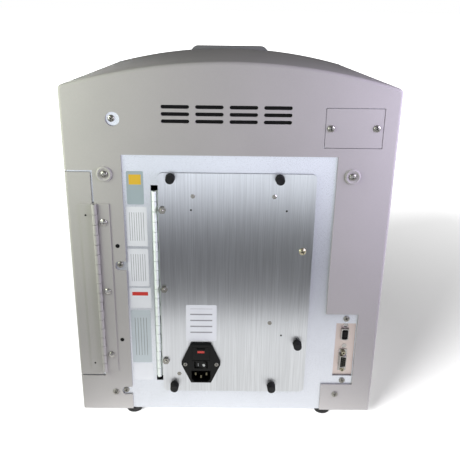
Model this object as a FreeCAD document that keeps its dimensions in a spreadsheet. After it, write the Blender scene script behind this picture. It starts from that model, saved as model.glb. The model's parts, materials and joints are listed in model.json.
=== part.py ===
import FreeCAD, Part
import math
import os
import re
import Sketcher

Vector = FreeCAD.Vector

# Driving sizes in millimetres. X runs across the back, Y from the front to the back, Z upwards.
# A margin is measured from the cabinet's side, a drop from the top and a rise from below.
SIZES = {
    # Cabinet
    "body_width": 380,
    "shell_depth": 370,
    "nose_depth": 30,
    "bumper_reach": 10,
    "foot_height": 8,
    "shoulder_height": 428.5,
    "crown_rise": 27.5,
    "front_drop": 7.5,
    "front_rise": 24.8,
    "shoulder_radius": 6,
    "rear_edge_radius": 3.5,
    "wall": 2,
    "sheet": 2,
    "plate_gap": 0.4,
    "seat_gap": 0.3,
    "running": 0.05,
    # Window in the painted back that shows the chassis plate
    "window_margin_left": 66,
    "window_margin_right": 66.5,
    "window_drop": 76,
    "port_step_margin": 26,
    "port_step_top": 151.5,
    "port_step_bottom": 47.5,
    # Connector window in the chassis plate
    "port_margin": 27,
    "port_width": 25.2,
    "port_bottom": 60,
    "port_tall": 77.6,
    "port_lap": 5,
    "bracket": 1.5,
    "port_centre_margin": 40.5,
    "data_drop": 15.6,
    "data_width": 9.6,
    "data_tall": 16,
    "data_reach": 4,
    "data_rim": 1,
    "data_cut": 1.5,
    "serial_rise": 23.3,
    "serial_width": 8.8,
    "serial_tall": 17.4,
    "serial_flange": 0.8,
    "serial_rim": 1,
    "serial_taper": 1,
    "serial_reach": 6.5,
    "jack_spacing": 25,
    "jack_radius": 2.4,
    "jack_reach": 5.5,
    # Feet and cup washers
    "foot_margin_left": 66,
    "foot_margin_right": 60.8,
    "foot_inset": 13,
    "foot_radius": 11.5,
    "foot_taper": 1.5,
    "cup_margin_left": 46,
    "cup_margin_right": 48.5,
    "cup_drop": 22.7,
    "cup_outer": 9.2,
    "cup_bore": 2.2,
    "cup_seat": 4.4,
    "cup_floor": 0.9,
    "cup_lip": 2.2,
    "cup_bevel": 0.6,
    # Panel screws
    "screw_radius": 4,
    "screw_height": 2,
    "hinge_screw_radius": 4.2,
    "hinge_screw_height": 2.4,
    "lock_screw_height": 3,
    # Vent slots and the filter behind them
    "vent_left": 77.4,
    "vent_length": 31.6,
    "vent_pitch": 38.2,
    "vent_height": 4.2,
    "vent_drop": 21.5,
    "vent_row_pitch": 8,
    # Access hole and blank option cover
    "access_margin": 58.7,
    "access_drop": 35.7,
    "access_radius": 8,
    "option_margin": 18,
    "option_width": 66,
    "option_drop": 20.5,
    "option_tall": 45.5,
    "option_gap": 0.7,
    # Notches in the panel edge
    "notch_depth": 13,
    "notch_height": 12,
    "upper_notch": 214.8,
    "lower_notch": 35.7,
    # Reagent door and its magnet
    "reagent_margin": 29.7,
    "reagent_reach": 165,
    "reagent_bottom": 61,
    "reagent_tall": 270.6,
    "door_gap": 2.4,
    "door_return": 12,
    "door_shelf": 6,
    "magnet_width": 9.7,
    "magnet_depth": 7.7,
    "magnet_bottom": 180,
    "magnet_tall": 32,
    # Painted hinge of the reagent door
    "side_hinge_rise": 6.4,
    "side_leaf": 17,
    "knuckle_pitch": 12.6,
    "barrel_radius": 2.9,
    "pin_radius": 1.5,
    "leaf": 1.2,
    "knuckle_gap": 0.3,
    "hinge_screw_offset": 9.5,
    "hinge_screw_rise": 30.2,
    "hinge_screw_pitch": 90,
    # Service door and its bare hinge
    "service_side_gap": 41,
    "service_far_gap": 22.5,
    "service_bottom": 36.5,
    "service_tall": 295.2,
    "service_corner": 6,
    "service_lip": 10,
    "rear_axis_offset": 4.8,
    "rear_slot_offset": 8.6,
    "rear_leaf_lap": 12,
    "rear_leaf_reach": 11,
    "rear_hinge_rise": 20.9,
    "slot_margin_low": 6.4,
    "slot_margin_high": 7,
    # What the service door carries
    "nut_inset": 4.4,
    "nut_rise": 46.1,
    "nut_pitch": 102.3,
    "nut_across": 8,
    "nut_height": 3,
    "bumper_radius": 5.6,
    "bumper_tip": 1,
    "bumper_draft": 0.5,
    "bumper_inset_left": 14.7,
    "bumper_inset_right": 43,
    "bumper_drop": 5.7,
    "bumper_rise": 8.8,
    "lock_inset": 12.1,
    "spare_bumper_height": 109.2,
    "lock_height": 236.3,
    # Power inlet
    "inlet_inset": 49.3,
    "inlet_height": 80,
    "inlet_width": 50,
    "inlet_tall": 57.5,
    "inlet_neck": 26,
    "inlet_point": 2,
    "inlet_round": 1.2,
    "inlet_flange": 4,
    "inlet_depth": 34,
    "inlet_body_width": 27,
    "inlet_body_tall": 54,
    "fuse_bottom": 84.4,
    "fuse_cover_tall": 20,
    "fuse_cover_width": 23,
    "fuse_well": 24,
    "fuse_offset": 5,
    "fuse_radius": 2.6,
    "fuse_length": 20,
    "cover_thick": 2.4,
    "finger_width": 11,
    "finger_tall": 2.5,
    "pane_width": 9,
    "pane_tall": 3.5,
    "pane_drop": 5,
    "pane_sink": 0.8,
    "socket_width": 24.6,
    "socket_tall": 16.7,
    "socket_depth": 16.5,
    "socket_height": 61.4,
    "socket_corner": 4,
    "blade_wide": 2,
    "blade_tall": 4,
    "blade_offset": 7,
    "blade_lift": 2,
    "blade_recess": 2.5,
    "rocker_width": 17,
    "rocker_tall": 10,
    "rocker_height": 78.3,
    "rocker_well": 10,
    "rocker_end_gap": 1.5,
    "rocker_rise": 1.2,
    "rocker_foot": 5.4,
    "rocker_bevel": 1,
    "rocker_dip": 1,
    "rocker_tilt_drop": 2,
    "pivot_sink": 2.5,
    "pivot_radius": 1.5,
    "pivot_reach": 0.6,
    # Interior sheet metal
    "bulkhead_place": 10,
    "bulkhead_drop": 28.5,
    "tray_lip": 12,
    "reagent_wall_offset": 18,
    "bay_floor": 58,
    "bay_ceiling_gap": 6.4,
    "cable_pass_left": 110,
    "cable_pass_width": 50,
    "cable_pass_bottom": 200,
    "cable_pass_tall": 40,
    # Front panel
    "fascia_depth": 19,
    "fascia_wall": 3.5,
    "fascia_round": 5,
    "brow_half": 65,
    "brow_rise": 3.6,
    "brow_corner": 12,
    "brow_foot": 12,
    "brow_round": 5,
    "lens_drop": 34.4,
    "lens_cap": 5,
    "lens_depth": 6,
    # Sample bay and carousel
    "bay_half": 102,
    "bay_bottom": 40,
    "bay_top": 236,
    "bay_back": -8,
    "bay_corner": 10,
    "liner": 2.5,
    "needle_hole": 6,
    "carousel_place": -105,
    "carousel_bottom": 54,
    "carousel_radius": 90,
    "carousel_plate": 4,
    "carousel_ring": 34,
    "carousel_neck": 20,
    "carousel_flare": 6,
    "carousel_cap": 18,
    "carousel_top": 57,
    "carousel_bevel": 3,
    "cup_circle": 75,
    "cup_hole": 6.8,
    "stage_lip": 9,
    "stage_rim": 2.5,
    "stage_floor": 3,
    "stage_boss": 7,
    "shaft_radius": 3,
    "shaft_room": 4,
    "shaft_grip": 50,
    "shaft_sink": 12,
    "motor_half": 21,
    "motor_top": 40,
    # Probe drive
    "drive_half": 32,
    "drive_plate": 4,
    "drive_web": 3,
    "drive_front": 12,
    "rail_radius": 3,
    "rail_spread": 22,
    "rail_place": -22,
    "screw_place": -8,
    "probe_reach": -30,
    "needle_radius": 0.9,
    "needle_tip": 112,
    "needle_tail": 8,
    "needle_pass": 2.5,
    "carriage_bottom": 300,
    "carriage_tall": 20,
    "carriage_margin": 8,
    "drive_top": 370,
    "screw_seat": 2.3,
    "screw_tail": 10,
    "probe_motor_half": 14,
    "probe_motor_tall": 26,
    # Syringe pump
    "pump_top": 250,
    "pump_middle": -110,
    "pump_front": -150,
    "pump_depth": 80,
    "pump_gap": 3.5,
    "pump_margin": 5.7,
    "pump_corner": 3,
    "syringe_offset": 14,
    "barrel_bottom": 130,
    "barrel_tall": 90,
    "barrel_neck": 4,
    "barrel_outer": 9,
    "barrel_inner": 8,
    "barrel_flange": 3,
    "barrel_tip": 1,
    "valve_half": 16,
    "valve_tall": 30,
    "valve_radius": 8,
    "valve_length": 26.5,
    "valve_front": 24,
    "valve_room": 0.5,
    "clamp_half": 14,
    "clamp_rise": 8,
    "plunger_arm": 110,
    "plunger_travel": 60,
    "plunger_top": 76,
    "plunger_head": 8,
    "plunger_rod": 3,
    "arm_half": 5,
    "arm_room": 6,
    "arm_slot": 16,
    "arm_gap": 2,
    # Optics
    "optics_height": 96,
    "optics_front": -160,
    "optics_back": -6,
    "bench_half": 30,
    "bench_foot": 4,
    "bench_web": 8,
    "bench_table": 24,
    "bench_sole": 16,
    "holder_half": 18,
    "holder_depth": 12,
    "lamp_place": -140,
    "lamp_radius": 12,
    "lamp_length": 28,
    "cell_place": -112,
    "cell_half": 16,
    "cell_depth": 12,
    "cell_top": 20,
    "cell_pane": 12,
    "lens_place": -78,
    "lens_radius": 12,
    "lens_length": 34,
    "lens_shift": 1,
    "camera_half": 16,
    "camera_depth": 34,
    # Power supply, board and its spacers
    "supply_left": 14,
    "supply_width": 96,
    "supply_front": 30,
    "supply_depth": 110,
    "supply_tall": 44,
    "slit_inset": 8,
    "slit_end": 15,
    "slit_width": 2,
    "slit_pitch": 6,
    "slit_depth": 1,
    "board_half": 86,
    "board_bottom": 110,
    "board_tall": 220,
    "board_thick": 1.6,
    "spacer": 6,
    "spacer_radius": 3,
    "spacer_inset": 6,
    "chip": 34,
    "chip_height": 3,
    "driver_height": 12,
    "header_height": 9,
    "header_depth": 10,
    "heat_sink_width": 46,
    "heat_sink_tall": 50,
    "heat_sink_base": 4,
    "fin_height": 20,
    "fin": 2,
    "fin_pitch": 5,
    # Cooling fan
    "fan_place": 4,
    "fan_size": 60,
    "fan_depth": 20,
    "fan_corner": 4,
    "fan_hub": 14,
    "fan_bore": 28,
    "fan_back": 3,
    "fan_spoke": 4,
    "fan_axle": 1.5,
    "fan_axle_length": 9,
    "blade_inset": 3,
    "blade_low": 2,
    "blade_root": 4,
    "blade_root_rise": 10,
    "blade_thick": 1.3,
    "blade_tip": 9,
    "blade_tip_low": 4,
    "blade_tip_rise": 6,
    "blade_twist": 1,
    "rotor_tall": 13,
    "rotor_bore_depth": 10,
    # Reagents
    "pack_top": 236,
    "pack_gap": 8,
    "pack_front": 14,
    "pack_length": 104,
    "pack_corner": 6,
    "pack_round": 3,
    "neck_radius": 8,
    "neck_tall": 8,
    "neck_start": 28,
    "neck_pitch": 25,
    "cap_radius": 10,
    "cap_tall": 12,
    "flask_front": 121,
    "flask_length": 35,
    "flask_drop": 20,
    "flask_corner": 9,
    "flask_round": 5,
    "flask_neck": 12,
    "waste_neck_radius": 9,
    "waste_cap_radius": 11,
}

# Places worked out from the sizes
PLACES = {
    "half_width": "body_width / 2",
    "rear_face": "(shell_depth + nose_depth - bumper_reach) / 2",
    "front_edge": "rear_face - shell_depth",
    "nose_face": "front_edge - nose_depth",
    "chassis_face": "rear_face - wall - plate_gap",
    "chassis_back": "chassis_face - sheet",
    "crown_height": "shoulder_height + crown_rise",
    "rear_arch": "(half_width ^ 2 + crown_rise ^ 2) / (2 * crown_rise)",
    "front_shoulder_height": "shoulder_height - front_drop",
    "front_crown_height": "front_shoulder_height + front_rise",
    "front_arch": "(half_width ^ 2 + front_rise ^ 2) / (2 * front_rise)",
    "window_left": "half_width - window_margin_left",
    "window_right": "window_margin_right - half_width",
    "window_top": "shoulder_height - window_drop",
    "port_step_right": "port_step_margin - half_width",
    "port_right": "port_margin - half_width",
    "port_left": "port_right + port_width",
    "port_top": "port_bottom + port_tall",
    "port_middle": "port_centre_margin - half_width",
    "port_face": "chassis_back - seat_gap",
    "data_height": "port_top - data_drop",
    "serial_height": "port_bottom + serial_rise",
    "foot_left": "half_width - foot_margin_left",
    "foot_right": "half_width - foot_margin_right",
    "cup_left": "half_width - cup_margin_left",
    "cup_right": "half_width - cup_margin_right",
    "cup_height": "window_top - cup_drop",
    "vent_top": "shoulder_height - vent_drop",
    "vent_middle": "vent_top - vent_row_pitch",
    "access_place": "half_width - access_margin",
    "access_height": "shoulder_height - access_drop",
    "option_right": "option_margin - half_width",
    "option_left": "option_right + option_width",
    "option_top": "shoulder_height - option_drop",
    "option_bottom": "option_top - option_tall",
    "reagent_flange": "half_width - reagent_margin",
    "reagent_front": "rear_face - reagent_reach",
    "reagent_top": "reagent_bottom + reagent_tall",
    "side_axis": "reagent_flange - barrel_radius",
    "side_axis_depth": "rear_face + barrel_radius",
    "side_hinge_bottom": "reagent_bottom + side_hinge_rise",
    "side_leaf_outer": "side_axis - side_leaf",
    "side_leaf_door": "side_axis + side_leaf",
    "service_left": "window_left - service_side_gap",
    "service_right": "window_right + service_far_gap",
    "service_top": "service_bottom + service_tall",
    "rear_axis": "service_left + rear_axis_offset",
    "rear_axis_depth": "chassis_back - leaf + barrel_radius",
    "rear_hinge_bottom": "service_bottom + rear_hinge_rise",
    "hinge_slot": "service_left + rear_slot_offset",
    "rear_leaf_outer": "hinge_slot + rear_leaf_lap",
    "rear_leaf_door": "service_left - rear_leaf_reach",
    "inside": "half_width - wall - seat_gap",
    "base_top": "foot_height + sheet",
    "door_back": "chassis_face + seat_gap",
    "door_face": "door_back + sheet",
    "bumper_length": "rear_face + bumper_reach - door_face",
    "inlet_place": "service_left - inlet_inset",
    "flange_face": "door_face + inlet_flange",
    "socket_back": "flange_face - socket_depth",
    "pivot_depth": "flange_face - pivot_sink",
    "bulkhead_face": "bulkhead_place + sheet",
    "bulkhead_top": "shoulder_height - bulkhead_drop",
    "reagent_wall": "window_left - reagent_wall_offset",
    "bay_ceiling": "reagent_top + bay_ceiling_gap",
    "fascia_face": "front_edge - fascia_depth",
    "brow_height": "front_crown_height + brow_rise",
    "brow_bottom": "bay_top + brow_foot",
    "lens_height": "brow_height - lens_drop",
    "stage_radius": "bay_back - liner - seat_gap - carousel_place",
    "fan_height": "vent_middle",
    "pump_right": "inside - pump_margin",
    "pump_left": "bay_half + liner + pump_gap + 2 * clamp_half",
    "syringe_place": "pump_left - syringe_offset",
    "optics_place": "-(bay_half + liner + inside) / 2",
    "lens_back": "lens_place + lens_length / 2 + lens_shift",
    "board_face": "bulkhead_face + spacer + board_thick",
    "board_top": "board_bottom + board_tall",
    "pack_middle": "(reagent_wall + inside) / 2",
    "cap_bottom": "pack_top + neck_tall",
    "flask_top": "pack_top - flask_drop",
    "flask_middle": "reagent_front + flask_front + flask_length / 2",
}

doc = FreeCAD.newDocument("analyzer")
sheet = doc.addObject("Spreadsheet::Sheet", "Sizes")
for row, (word, size) in enumerate(SIZES.items(), 1):
    sheet.set(f"A{row}", word)
    sheet.set(f"B{row}", str(size))
    sheet.setAlias(f"B{row}", word)
doc.recompute()

VENT_ROWS = 3
VENT_COLUMNS = 4
SIDE_KNUCKLES = 18
REAR_KNUCKLES = 20
HINGE_SCREWS = 3
DOOR_NUTS = 3
CUPS = 12
SUPPLY_SLITS = 13
SINK_FINS = 9
FAN_BLADES = 7
REAGENTS = 4

WORD = re.compile(r"[a-z][a-z_0-9]*")
nodes = {}


def bound(formula):
    """Turn a formula of plain words into one that reads the sheet's cells."""
    def cell(match):
        word = match.group(0)
        if word in PLACES:
            return "(" + bound(PLACES[word]) + ")"
        if word in SIZES:
            return "Sizes." + word
        return word
    return WORD.sub(cell, str(formula))


def number(formula):
    """The present value of a formula."""
    value = sheet.evalExpression(bound(formula))
    return float(getattr(value, "Value", value))


def node(name, piece):
    """Give a finished sub-part its name."""
    piece.Label = name
    nodes[name] = piece
    return piece


# Part primitives and booleans

def box(name, x, y, z):
    """A block between two places along each axis."""
    block = doc.addObject("Part::Box", name)
    for side, edge, (low, high) in (("Length", "x", x), ("Width", "y", y), ("Height", "z", z)):
        block.setExpression(side, bound(f"({high}) - ({low})"))
        block.setExpression("Placement.Base." + edge, bound(low))
    return block


TURNS = {
    "x": FreeCAD.Rotation(Vector(0, 1, 0), 90),
    "y": FreeCAD.Rotation(Vector(1, 0, 0), -90),
    "z": FreeCAD.Rotation(),
}


def put(piece, place, axis="z"):
    """Set a piece down at a place, with its own Z along the axis."""
    piece.Placement = FreeCAD.Placement(Vector(), TURNS[axis])
    for edge, formula in zip("xyz", place):
        piece.setExpression("Placement.Base." + edge, bound(formula))
    return piece


def cylinder(name, place, axis, radius, length):
    rod = doc.addObject("Part::Cylinder", name)
    rod.setExpression("Radius", bound(radius))
    rod.setExpression("Height", bound(length))
    return put(rod, place, axis)


def fuse(name, *pieces):
    joined = doc.addObject("Part::MultiFuse", name)
    joined.Shapes = list(pieces)
    return joined


def cut(name, base, *tools):
    trimmed = doc.addObject("Part::Cut", name)
    trimmed.Base = base
    trimmed.Tool = tools[0] if len(tools) == 1 else fuse(name + "_tool", *tools)
    return trimmed


def group(name, pieces):
    """Separate solids that share one node."""
    bundle = doc.addObject("Part::Compound", name)
    bundle.Links = list(pieces)
    return bundle


# Bodies made from sketches

SIDES = {"XY": ("", False), "XZ": ("-", True), "YZ": ("", False)}


def arc_between(start, end, radius, turn):
    """The shorter arc between two points; turn is 1 where it runs anticlockwise, else -1."""
    chord = end - start
    middle = (start + end) / 2
    lift = math.sqrt(max(radius ** 2 - chord.Length ** 2 / 4, 0))
    side = Vector(-chord.y, chord.x, 0) / chord.Length
    centre = middle + side * lift * turn
    first, last = (start, end) if turn > 0 else (end, start)
    low = math.atan2(first.y - centre.y, first.x - centre.x)
    high = math.atan2(last.y - centre.y, last.x - centre.x)
    if high <= low:
        high += 2 * math.pi
    return Part.ArcOfCircle(Part.Circle(centre, Vector(0, 0, 1), radius), low, high)


def half_round(start, end):
    """The half circle that runs anticlockwise from one point to the other."""
    centre = (start + end) / 2
    low = math.atan2(start.y - centre.y, start.x - centre.x)
    circle = Part.Circle(centre, Vector(0, 0, 1), (end - start).Length / 2)
    return Part.ArcOfCircle(circle, low, low + math.pi)


def draw(sketch, outline):
    """Add a closed outline.

    A corner is (x, y), or (x, y, radius, turn) where an arc leaves it,
    or (x, y, "half", centre) where half a circle does: centre is its x on an upright
    chord and its y on a level one.
    """
    rules = []
    formulas = []
    first = sketch.GeometryCount

    def fix(kind, index, end, formula):
        rules.append(Sketcher.Constraint(kind, -1, 1, index, end, number(formula)))
        formulas.append((len(rules) - 1, formula))

    def fix_radius(index, formula):
        rules.append(Sketcher.Constraint("Radius", index, number(formula)))
        formulas.append((len(rules) - 1, formula))

    if outline[0] == "circle":
        x, y, radius = outline[1:]
        centre = Vector(number(x), number(y), 0)
        sketch.addGeometry(Part.Circle(centre, Vector(0, 0, 1), number(radius)), False)
        fix("DistanceX", first, 3, x)
        fix("DistanceY", first, 3, y)
        fix_radius(first, radius)
    else:
        points = [Vector(number(corner[0]), number(corner[1]), 0) for corner in outline]
        heads = []
        tails = []
        for step, corner in enumerate(outline):
            start = points[step]
            end = points[(step + 1) % len(points)]
            if len(corner) == 2:
                sketch.addGeometry(Part.LineSegment(start, end), False)
                turn = 1
            elif corner[2] == "half":
                turn = 1
                sketch.addGeometry(half_round(start, end), False)
                upright = abs((end - start).y) > abs((end - start).x)
                fix("DistanceX" if upright else "DistanceY", first + step, 3, corner[3])
            else:
                turn = corner[3]
                sketch.addGeometry(arc_between(start, end, number(corner[2]), turn), False)
                fix_radius(first + step, corner[2])
            heads.append(1 if turn > 0 else 2)
            tails.append(2 if turn > 0 else 1)
        for step, corner in enumerate(outline):
            follower = (step + 1) % len(outline)
            fix("DistanceX", first + step, heads[step], corner[0])
            fix("DistanceY", first + step, heads[step], corner[1])
            rules.append(Sketcher.Constraint("Coincident", first + step, tails[step],
                                             first + follower, heads[follower]))
    base = sketch.ConstraintCount
    sketch.addConstraint(rules)
    for index, formula in formulas:
        sketch.setExpression(f"Constraints[{base + index}]", bound(formula))


def sketch_on(body, name, side, place, outlines):
    """A sketch on one of the body's own planes, moved along that plane's axis to a place."""
    sketch = body.newObject("Sketcher::SketchObject", name)
    sketch.AttachmentSupport = [(origin(body, side + "_Plane"), "")]
    sketch.MapMode = "FlatFace"
    sketch.setExpression("AttachmentOffset.Base.z", bound(f"{SIDES[side][0]}({place})"))
    for outline in outlines:
        draw(sketch, outline)
    return sketch


def add(body, name, side, low, high, *outlines):
    """Pad outlines from one place to another along the axis of a plane."""
    feature = body.newObject("PartDesign::Pad", name)
    feature.Profile = sketch_on(body, name + "_outline", side, low, outlines)
    feature.setExpression("Length", bound(f"({high}) - ({low})"))
    feature.Reversed = SIDES[side][1]
    return feature


def take(body, name, side, low, high, *outlines):
    """Pocket outlines from one place to another along the axis of a plane."""
    doc.recompute()
    before = body.Shape.Volume
    feature = body.newObject("PartDesign::Pocket", name)
    feature.Profile = sketch_on(body, name + "_outline", side, low, outlines)
    feature.setExpression("Length", bound(f"({high}) - ({low})"))
    feature.Reversed = not SIDES[side][1]
    doc.recompute()
    if body.Shape.Volume > before - 1e-3:
        raise ValueError(f"{body.Name} {name} removes nothing")
    return feature


def rectangle(x, y):
    (left, right), (bottom, top) = x, y
    return [(left, bottom), (right, bottom), (right, top), (left, top)]


def rounded_rectangle(x, y, radius):
    """A rectangle with quarter-round corners, drawn anticlockwise."""
    (left, right), (bottom, top) = x, y
    return [
        (f"{left} + ({radius})", bottom),
        (f"{right} - ({radius})", bottom, radius, 1),
        (right, f"{bottom} + ({radius})"),
        (right, f"{top} - ({radius})", radius, 1),
        (f"{right} - ({radius})", top),
        (f"{left} + ({radius})", top, radius, 1),
        (left, f"{top} - ({radius})"),
        (left, f"{bottom} + ({radius})", radius, 1),
    ]


def slot(left, right, middle, radius):
    """A level slot with round ends, drawn anticlockwise."""
    return [
        (f"{left} + {radius}", f"{middle} - {radius}"),
        (f"{right} - {radius}", f"{middle} - {radius}", "half", f"{right} - {radius}"),
        (f"{right} - {radius}", f"{middle} + {radius}"),
        (f"{left} + {radius}", f"{middle} + {radius}", "half", f"{left} + {radius}"),
    ]


def origin(body, role):
    return next(f for f in body.Origin.OriginFeatures if f.Role == role)


def repeat(body, name, feature, axis, pitch, count):
    """Repeat a feature along one of the body's axes, backwards where the pitch is negative."""
    pattern = body.newObject("PartDesign::LinearPattern", name)
    pattern.Originals = [feature]
    pattern.Direction = (origin(body, axis), [""])
    pattern.Reversed = number(pitch) < 0
    pattern.setExpression("Length", bound(f"abs({pitch}) * {count - 1}"))
    pattern.Occurrences = count
    body.Tip = pattern
    return pattern


def around(body, name, feature, count):
    """Repeat a feature in a full circle about the body's upright axis."""
    pattern = body.newObject("PartDesign::PolarPattern", name)
    pattern.Originals = [feature]
    pattern.Axis = (origin(body, "Z_Axis"), [""])
    pattern.Angle = 360
    pattern.Occurrences = count
    body.Tip = pattern
    return pattern


def edges_where(shape, chosen):
    return [f"Edge{count}" for count, edge in enumerate(shape.Edges, 1) if chosen(edge)]


def round_edges(body, name, radius, chosen):
    """Fillet the chosen edges of a body."""
    doc.recompute()
    base = body.Tip
    feature = body.newObject("PartDesign::Fillet", name)
    feature.Base = (base, edges_where(base.Shape, chosen))
    feature.setExpression("Radius", bound(radius))
    return feature


# Painted cover

def arch(half, shoulder, radius, bottom):
    """An outline with straight sides and an arched top."""
    return [
        (f"-({half})", bottom),
        (half, bottom),
        (half, shoulder, radius, 1),
        (f"-({half})", shoulder),
    ]


def inner_shoulder(crown, radius):
    """Height of the cover's inside corner, under the same arch less the wall."""
    return f"{crown} - {radius} + sqrt(({radius} - wall) ^ 2 - (half_width - wall) ^ 2)"


def outer_cover():
    body = doc.addObject("PartDesign::Body", "OuterCover")
    hull = body.newObject("PartDesign::AdditiveLoft", "CoverHull")
    hull.Profile = sketch_on(body, "BackArch", "XZ", "rear_face",
                             [arch("half_width", "shoulder_height", "rear_arch", "foot_height")])
    hull.Sections = [sketch_on(body, "FrontArch", "XZ", "front_edge",
                               [arch("half_width", "front_shoulder_height", "front_arch", "foot_height")])]
    hull.Ruled = True
    hollow = body.newObject("PartDesign::SubtractiveLoft", "CoverHollow")
    hollow.Profile = sketch_on(body, "InnerBackArch", "XZ", "rear_face - wall",
                               [arch("half_width - wall", inner_shoulder("crown_height", "rear_arch"),
                                     "rear_arch - wall", "0")])
    hollow.Sections = [sketch_on(body, "InnerFrontArch", "XZ", "front_edge - seat_gap",
                                 [arch("half_width - wall",
                                       inner_shoulder("front_crown_height", "front_arch"),
                                       "front_arch - wall", "0")])]
    hollow.Ruled = True
    rear = number("rear_face")
    half = number("half_width")
    low = number("foot_height")
    shoulder = number("front_shoulder_height")

    def on_shoulder(side):
        def test(edge):
            box = edge.BoundBox
            return box.YLength > 100 and box.ZMin > shoulder - 12 and abs(abs(box.Center.x) - side) < 0.5
        return test

    def at_back(edge):
        box = edge.BoundBox
        return box.YMin > rear - 0.5 and box.ZMax > low + 1

    round_edges(body, "InnerShoulderRounds", "shoulder_radius - wall", on_shoulder(number("half_width - wall")))
    round_edges(body, "ShoulderRounds", "shoulder_radius", on_shoulder(half))
    round_edges(body, "BackRounds", "rear_edge_radius", at_back)
    through = ("rear_face - wall - seat_gap", "rear_face + seat_gap")
    take(body, "Window", "XZ", *through, [
        ("window_left", "0"),
        ("window_left", "window_top"),
        ("window_right", "window_top"),
        ("window_right", "port_step_top"),
        ("port_step_right", "port_step_top"),
        ("port_step_right", "port_step_bottom"),
        ("window_right", "port_step_bottom"),
        ("window_right", "0"),
    ])
    rows = []
    for row in range(VENT_ROWS):
        middle = f"vent_top - {row} * vent_row_pitch"
        rows.append(slot("vent_left - vent_length", "vent_left", middle, "vent_height / 2"))
    vents = take(body, "Vents", "XZ", *through, *rows)
    repeat(body, "VentColumns", vents, "X_Axis", "-vent_pitch", VENT_COLUMNS)
    take(body, "AccessHole", "XZ", *through, ["circle", "access_place", "access_height", "access_radius"])
    take(body, "OptionOpening", "XZ", *through, rectangle(
        ("option_right", "option_left"), ("option_bottom", "option_top")))
    for name, middle in (("Upper", "upper_notch"), ("Lower", "lower_notch")):
        take(body, name + "Notch", "XZ", *through, rounded_rectangle(
            ("window_left - notch_height / 2", "window_left + notch_depth"),
            (f"{middle} - notch_height / 2", f"{middle} + notch_height / 2"), "notch_height / 2.5"))
    take(body, "DoorOpening", "XY", "reagent_bottom - door_gap", "reagent_top + door_gap", rectangle(
        ("reagent_flange - door_gap", "half_width + seat_gap"),
        ("reagent_front - door_gap", "rear_face + seat_gap")))
    return body


node("outer_cover", outer_cover())


# Sheet metal inside

def base_plate():
    body = doc.addObject("PartDesign::Body", "BasePlate")
    add(body, "Tray", "XY", "foot_height", "foot_height + tray_lip", rectangle(
        ("-(inside)", "inside"), ("front_edge + wall", "chassis_back - seat_gap")))
    take(body, "TrayInside", "XY", "base_top", "foot_height + tray_lip + 1", rectangle(
        ("-(inside) + sheet", "inside - sheet"), ("front_edge + wall + sheet", "chassis_face + 1")))
    return body


VENT_REACH = f"(vent_pitch * {VENT_COLUMNS - 1} + vent_length)"
VENT_FALL = f"(vent_row_pitch * {VENT_ROWS - 1})"
THROUGH_CHASSIS = ("chassis_back - 1", "chassis_face + 1")


def chassis_plate():
    body = doc.addObject("PartDesign::Body", "ChassisPlate")
    side = "inside - plate_gap"
    top = "front_shoulder_height - wall"
    add(body, "Plate", "XZ", "chassis_back", "chassis_face", rounded_rectangle(
        (f"-({side})", side), ("foot_height + seat_gap", top), "shoulder_radius"))
    edges = (("Left", (f"{side} - sheet", side)), ("Right", (f"-({side})", f"sheet - ({side})")))
    for name, edge in edges:
        add(body, name + "Flange", "XY", "base_top + tray_lip", f"{top} - 2 * wall", rectangle(
            edge, ("chassis_back - tray_lip", "chassis_back")))
    take(body, "ServiceOpening", "XZ", *THROUGH_CHASSIS, [
        ("service_right + service_lip", "service_bottom + service_lip"),
        ("service_left", "service_bottom + service_lip"),
        ("service_left", "rear_hinge_bottom - slot_margin_low"),
        ("hinge_slot", "rear_hinge_bottom - slot_margin_low"),
        ("hinge_slot", f"rear_hinge_bottom + {REAR_KNUCKLES} * knuckle_pitch + slot_margin_high"),
        ("service_left", f"rear_hinge_bottom + {REAR_KNUCKLES} * knuckle_pitch + slot_margin_high"),
        ("service_left", "service_top - service_lip"),
        ("service_right + service_lip", "service_top - service_lip"),
    ])
    take(body, "PortWindow", "XZ", *THROUGH_CHASSIS, rectangle(
        ("port_right", "port_left"), ("port_bottom", "port_top")))
    take(body, "VentWindow", "XZ", *THROUGH_CHASSIS, rounded_rectangle(
        (f"vent_left - {VENT_REACH} - vent_height", "vent_left + vent_height"),
        (f"vent_top - {VENT_FALL} - vent_height", "vent_top + vent_height"), "vent_height"))
    return body


def vent_filter():
    """A foam pad that fills the window behind the vent slots."""
    body = doc.addObject("PartDesign::Body", "VentFilter")
    add(body, "Pad", "XZ", "chassis_back", "chassis_face", rounded_rectangle(
        (f"vent_left - {VENT_REACH} - vent_height + seat_gap", "vent_left + vent_height - seat_gap"),
        (f"vent_top - {VENT_FALL} - vent_height + seat_gap", "vent_top + vent_height - seat_gap"),
        "vent_height - seat_gap"))
    return body


def bulkhead():
    body = doc.addObject("PartDesign::Body", "Bulkhead")
    add(body, "Wall", "XZ", "bulkhead_place", "bulkhead_face", rounded_rectangle(
        ("-(inside) + sheet", "inside - sheet"), ("base_top", "bulkhead_top"), "shoulder_radius"))
    add(body, "Foot", "XZ", "bulkhead_face", "bulkhead_face + tray_lip", rectangle(
        ("-(inside) + tray_lip", "reagent_wall - seat_gap"), ("base_top", "base_top + sheet")))
    take(body, "CablePass", "XZ", "bulkhead_place - 1", "bulkhead_face + 1", rounded_rectangle(
        ("-(cable_pass_left) - cable_pass_width", "-(cable_pass_left)"),
        ("cable_pass_bottom", "cable_pass_bottom + cable_pass_tall"), "shoulder_radius"))
    return body


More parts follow.
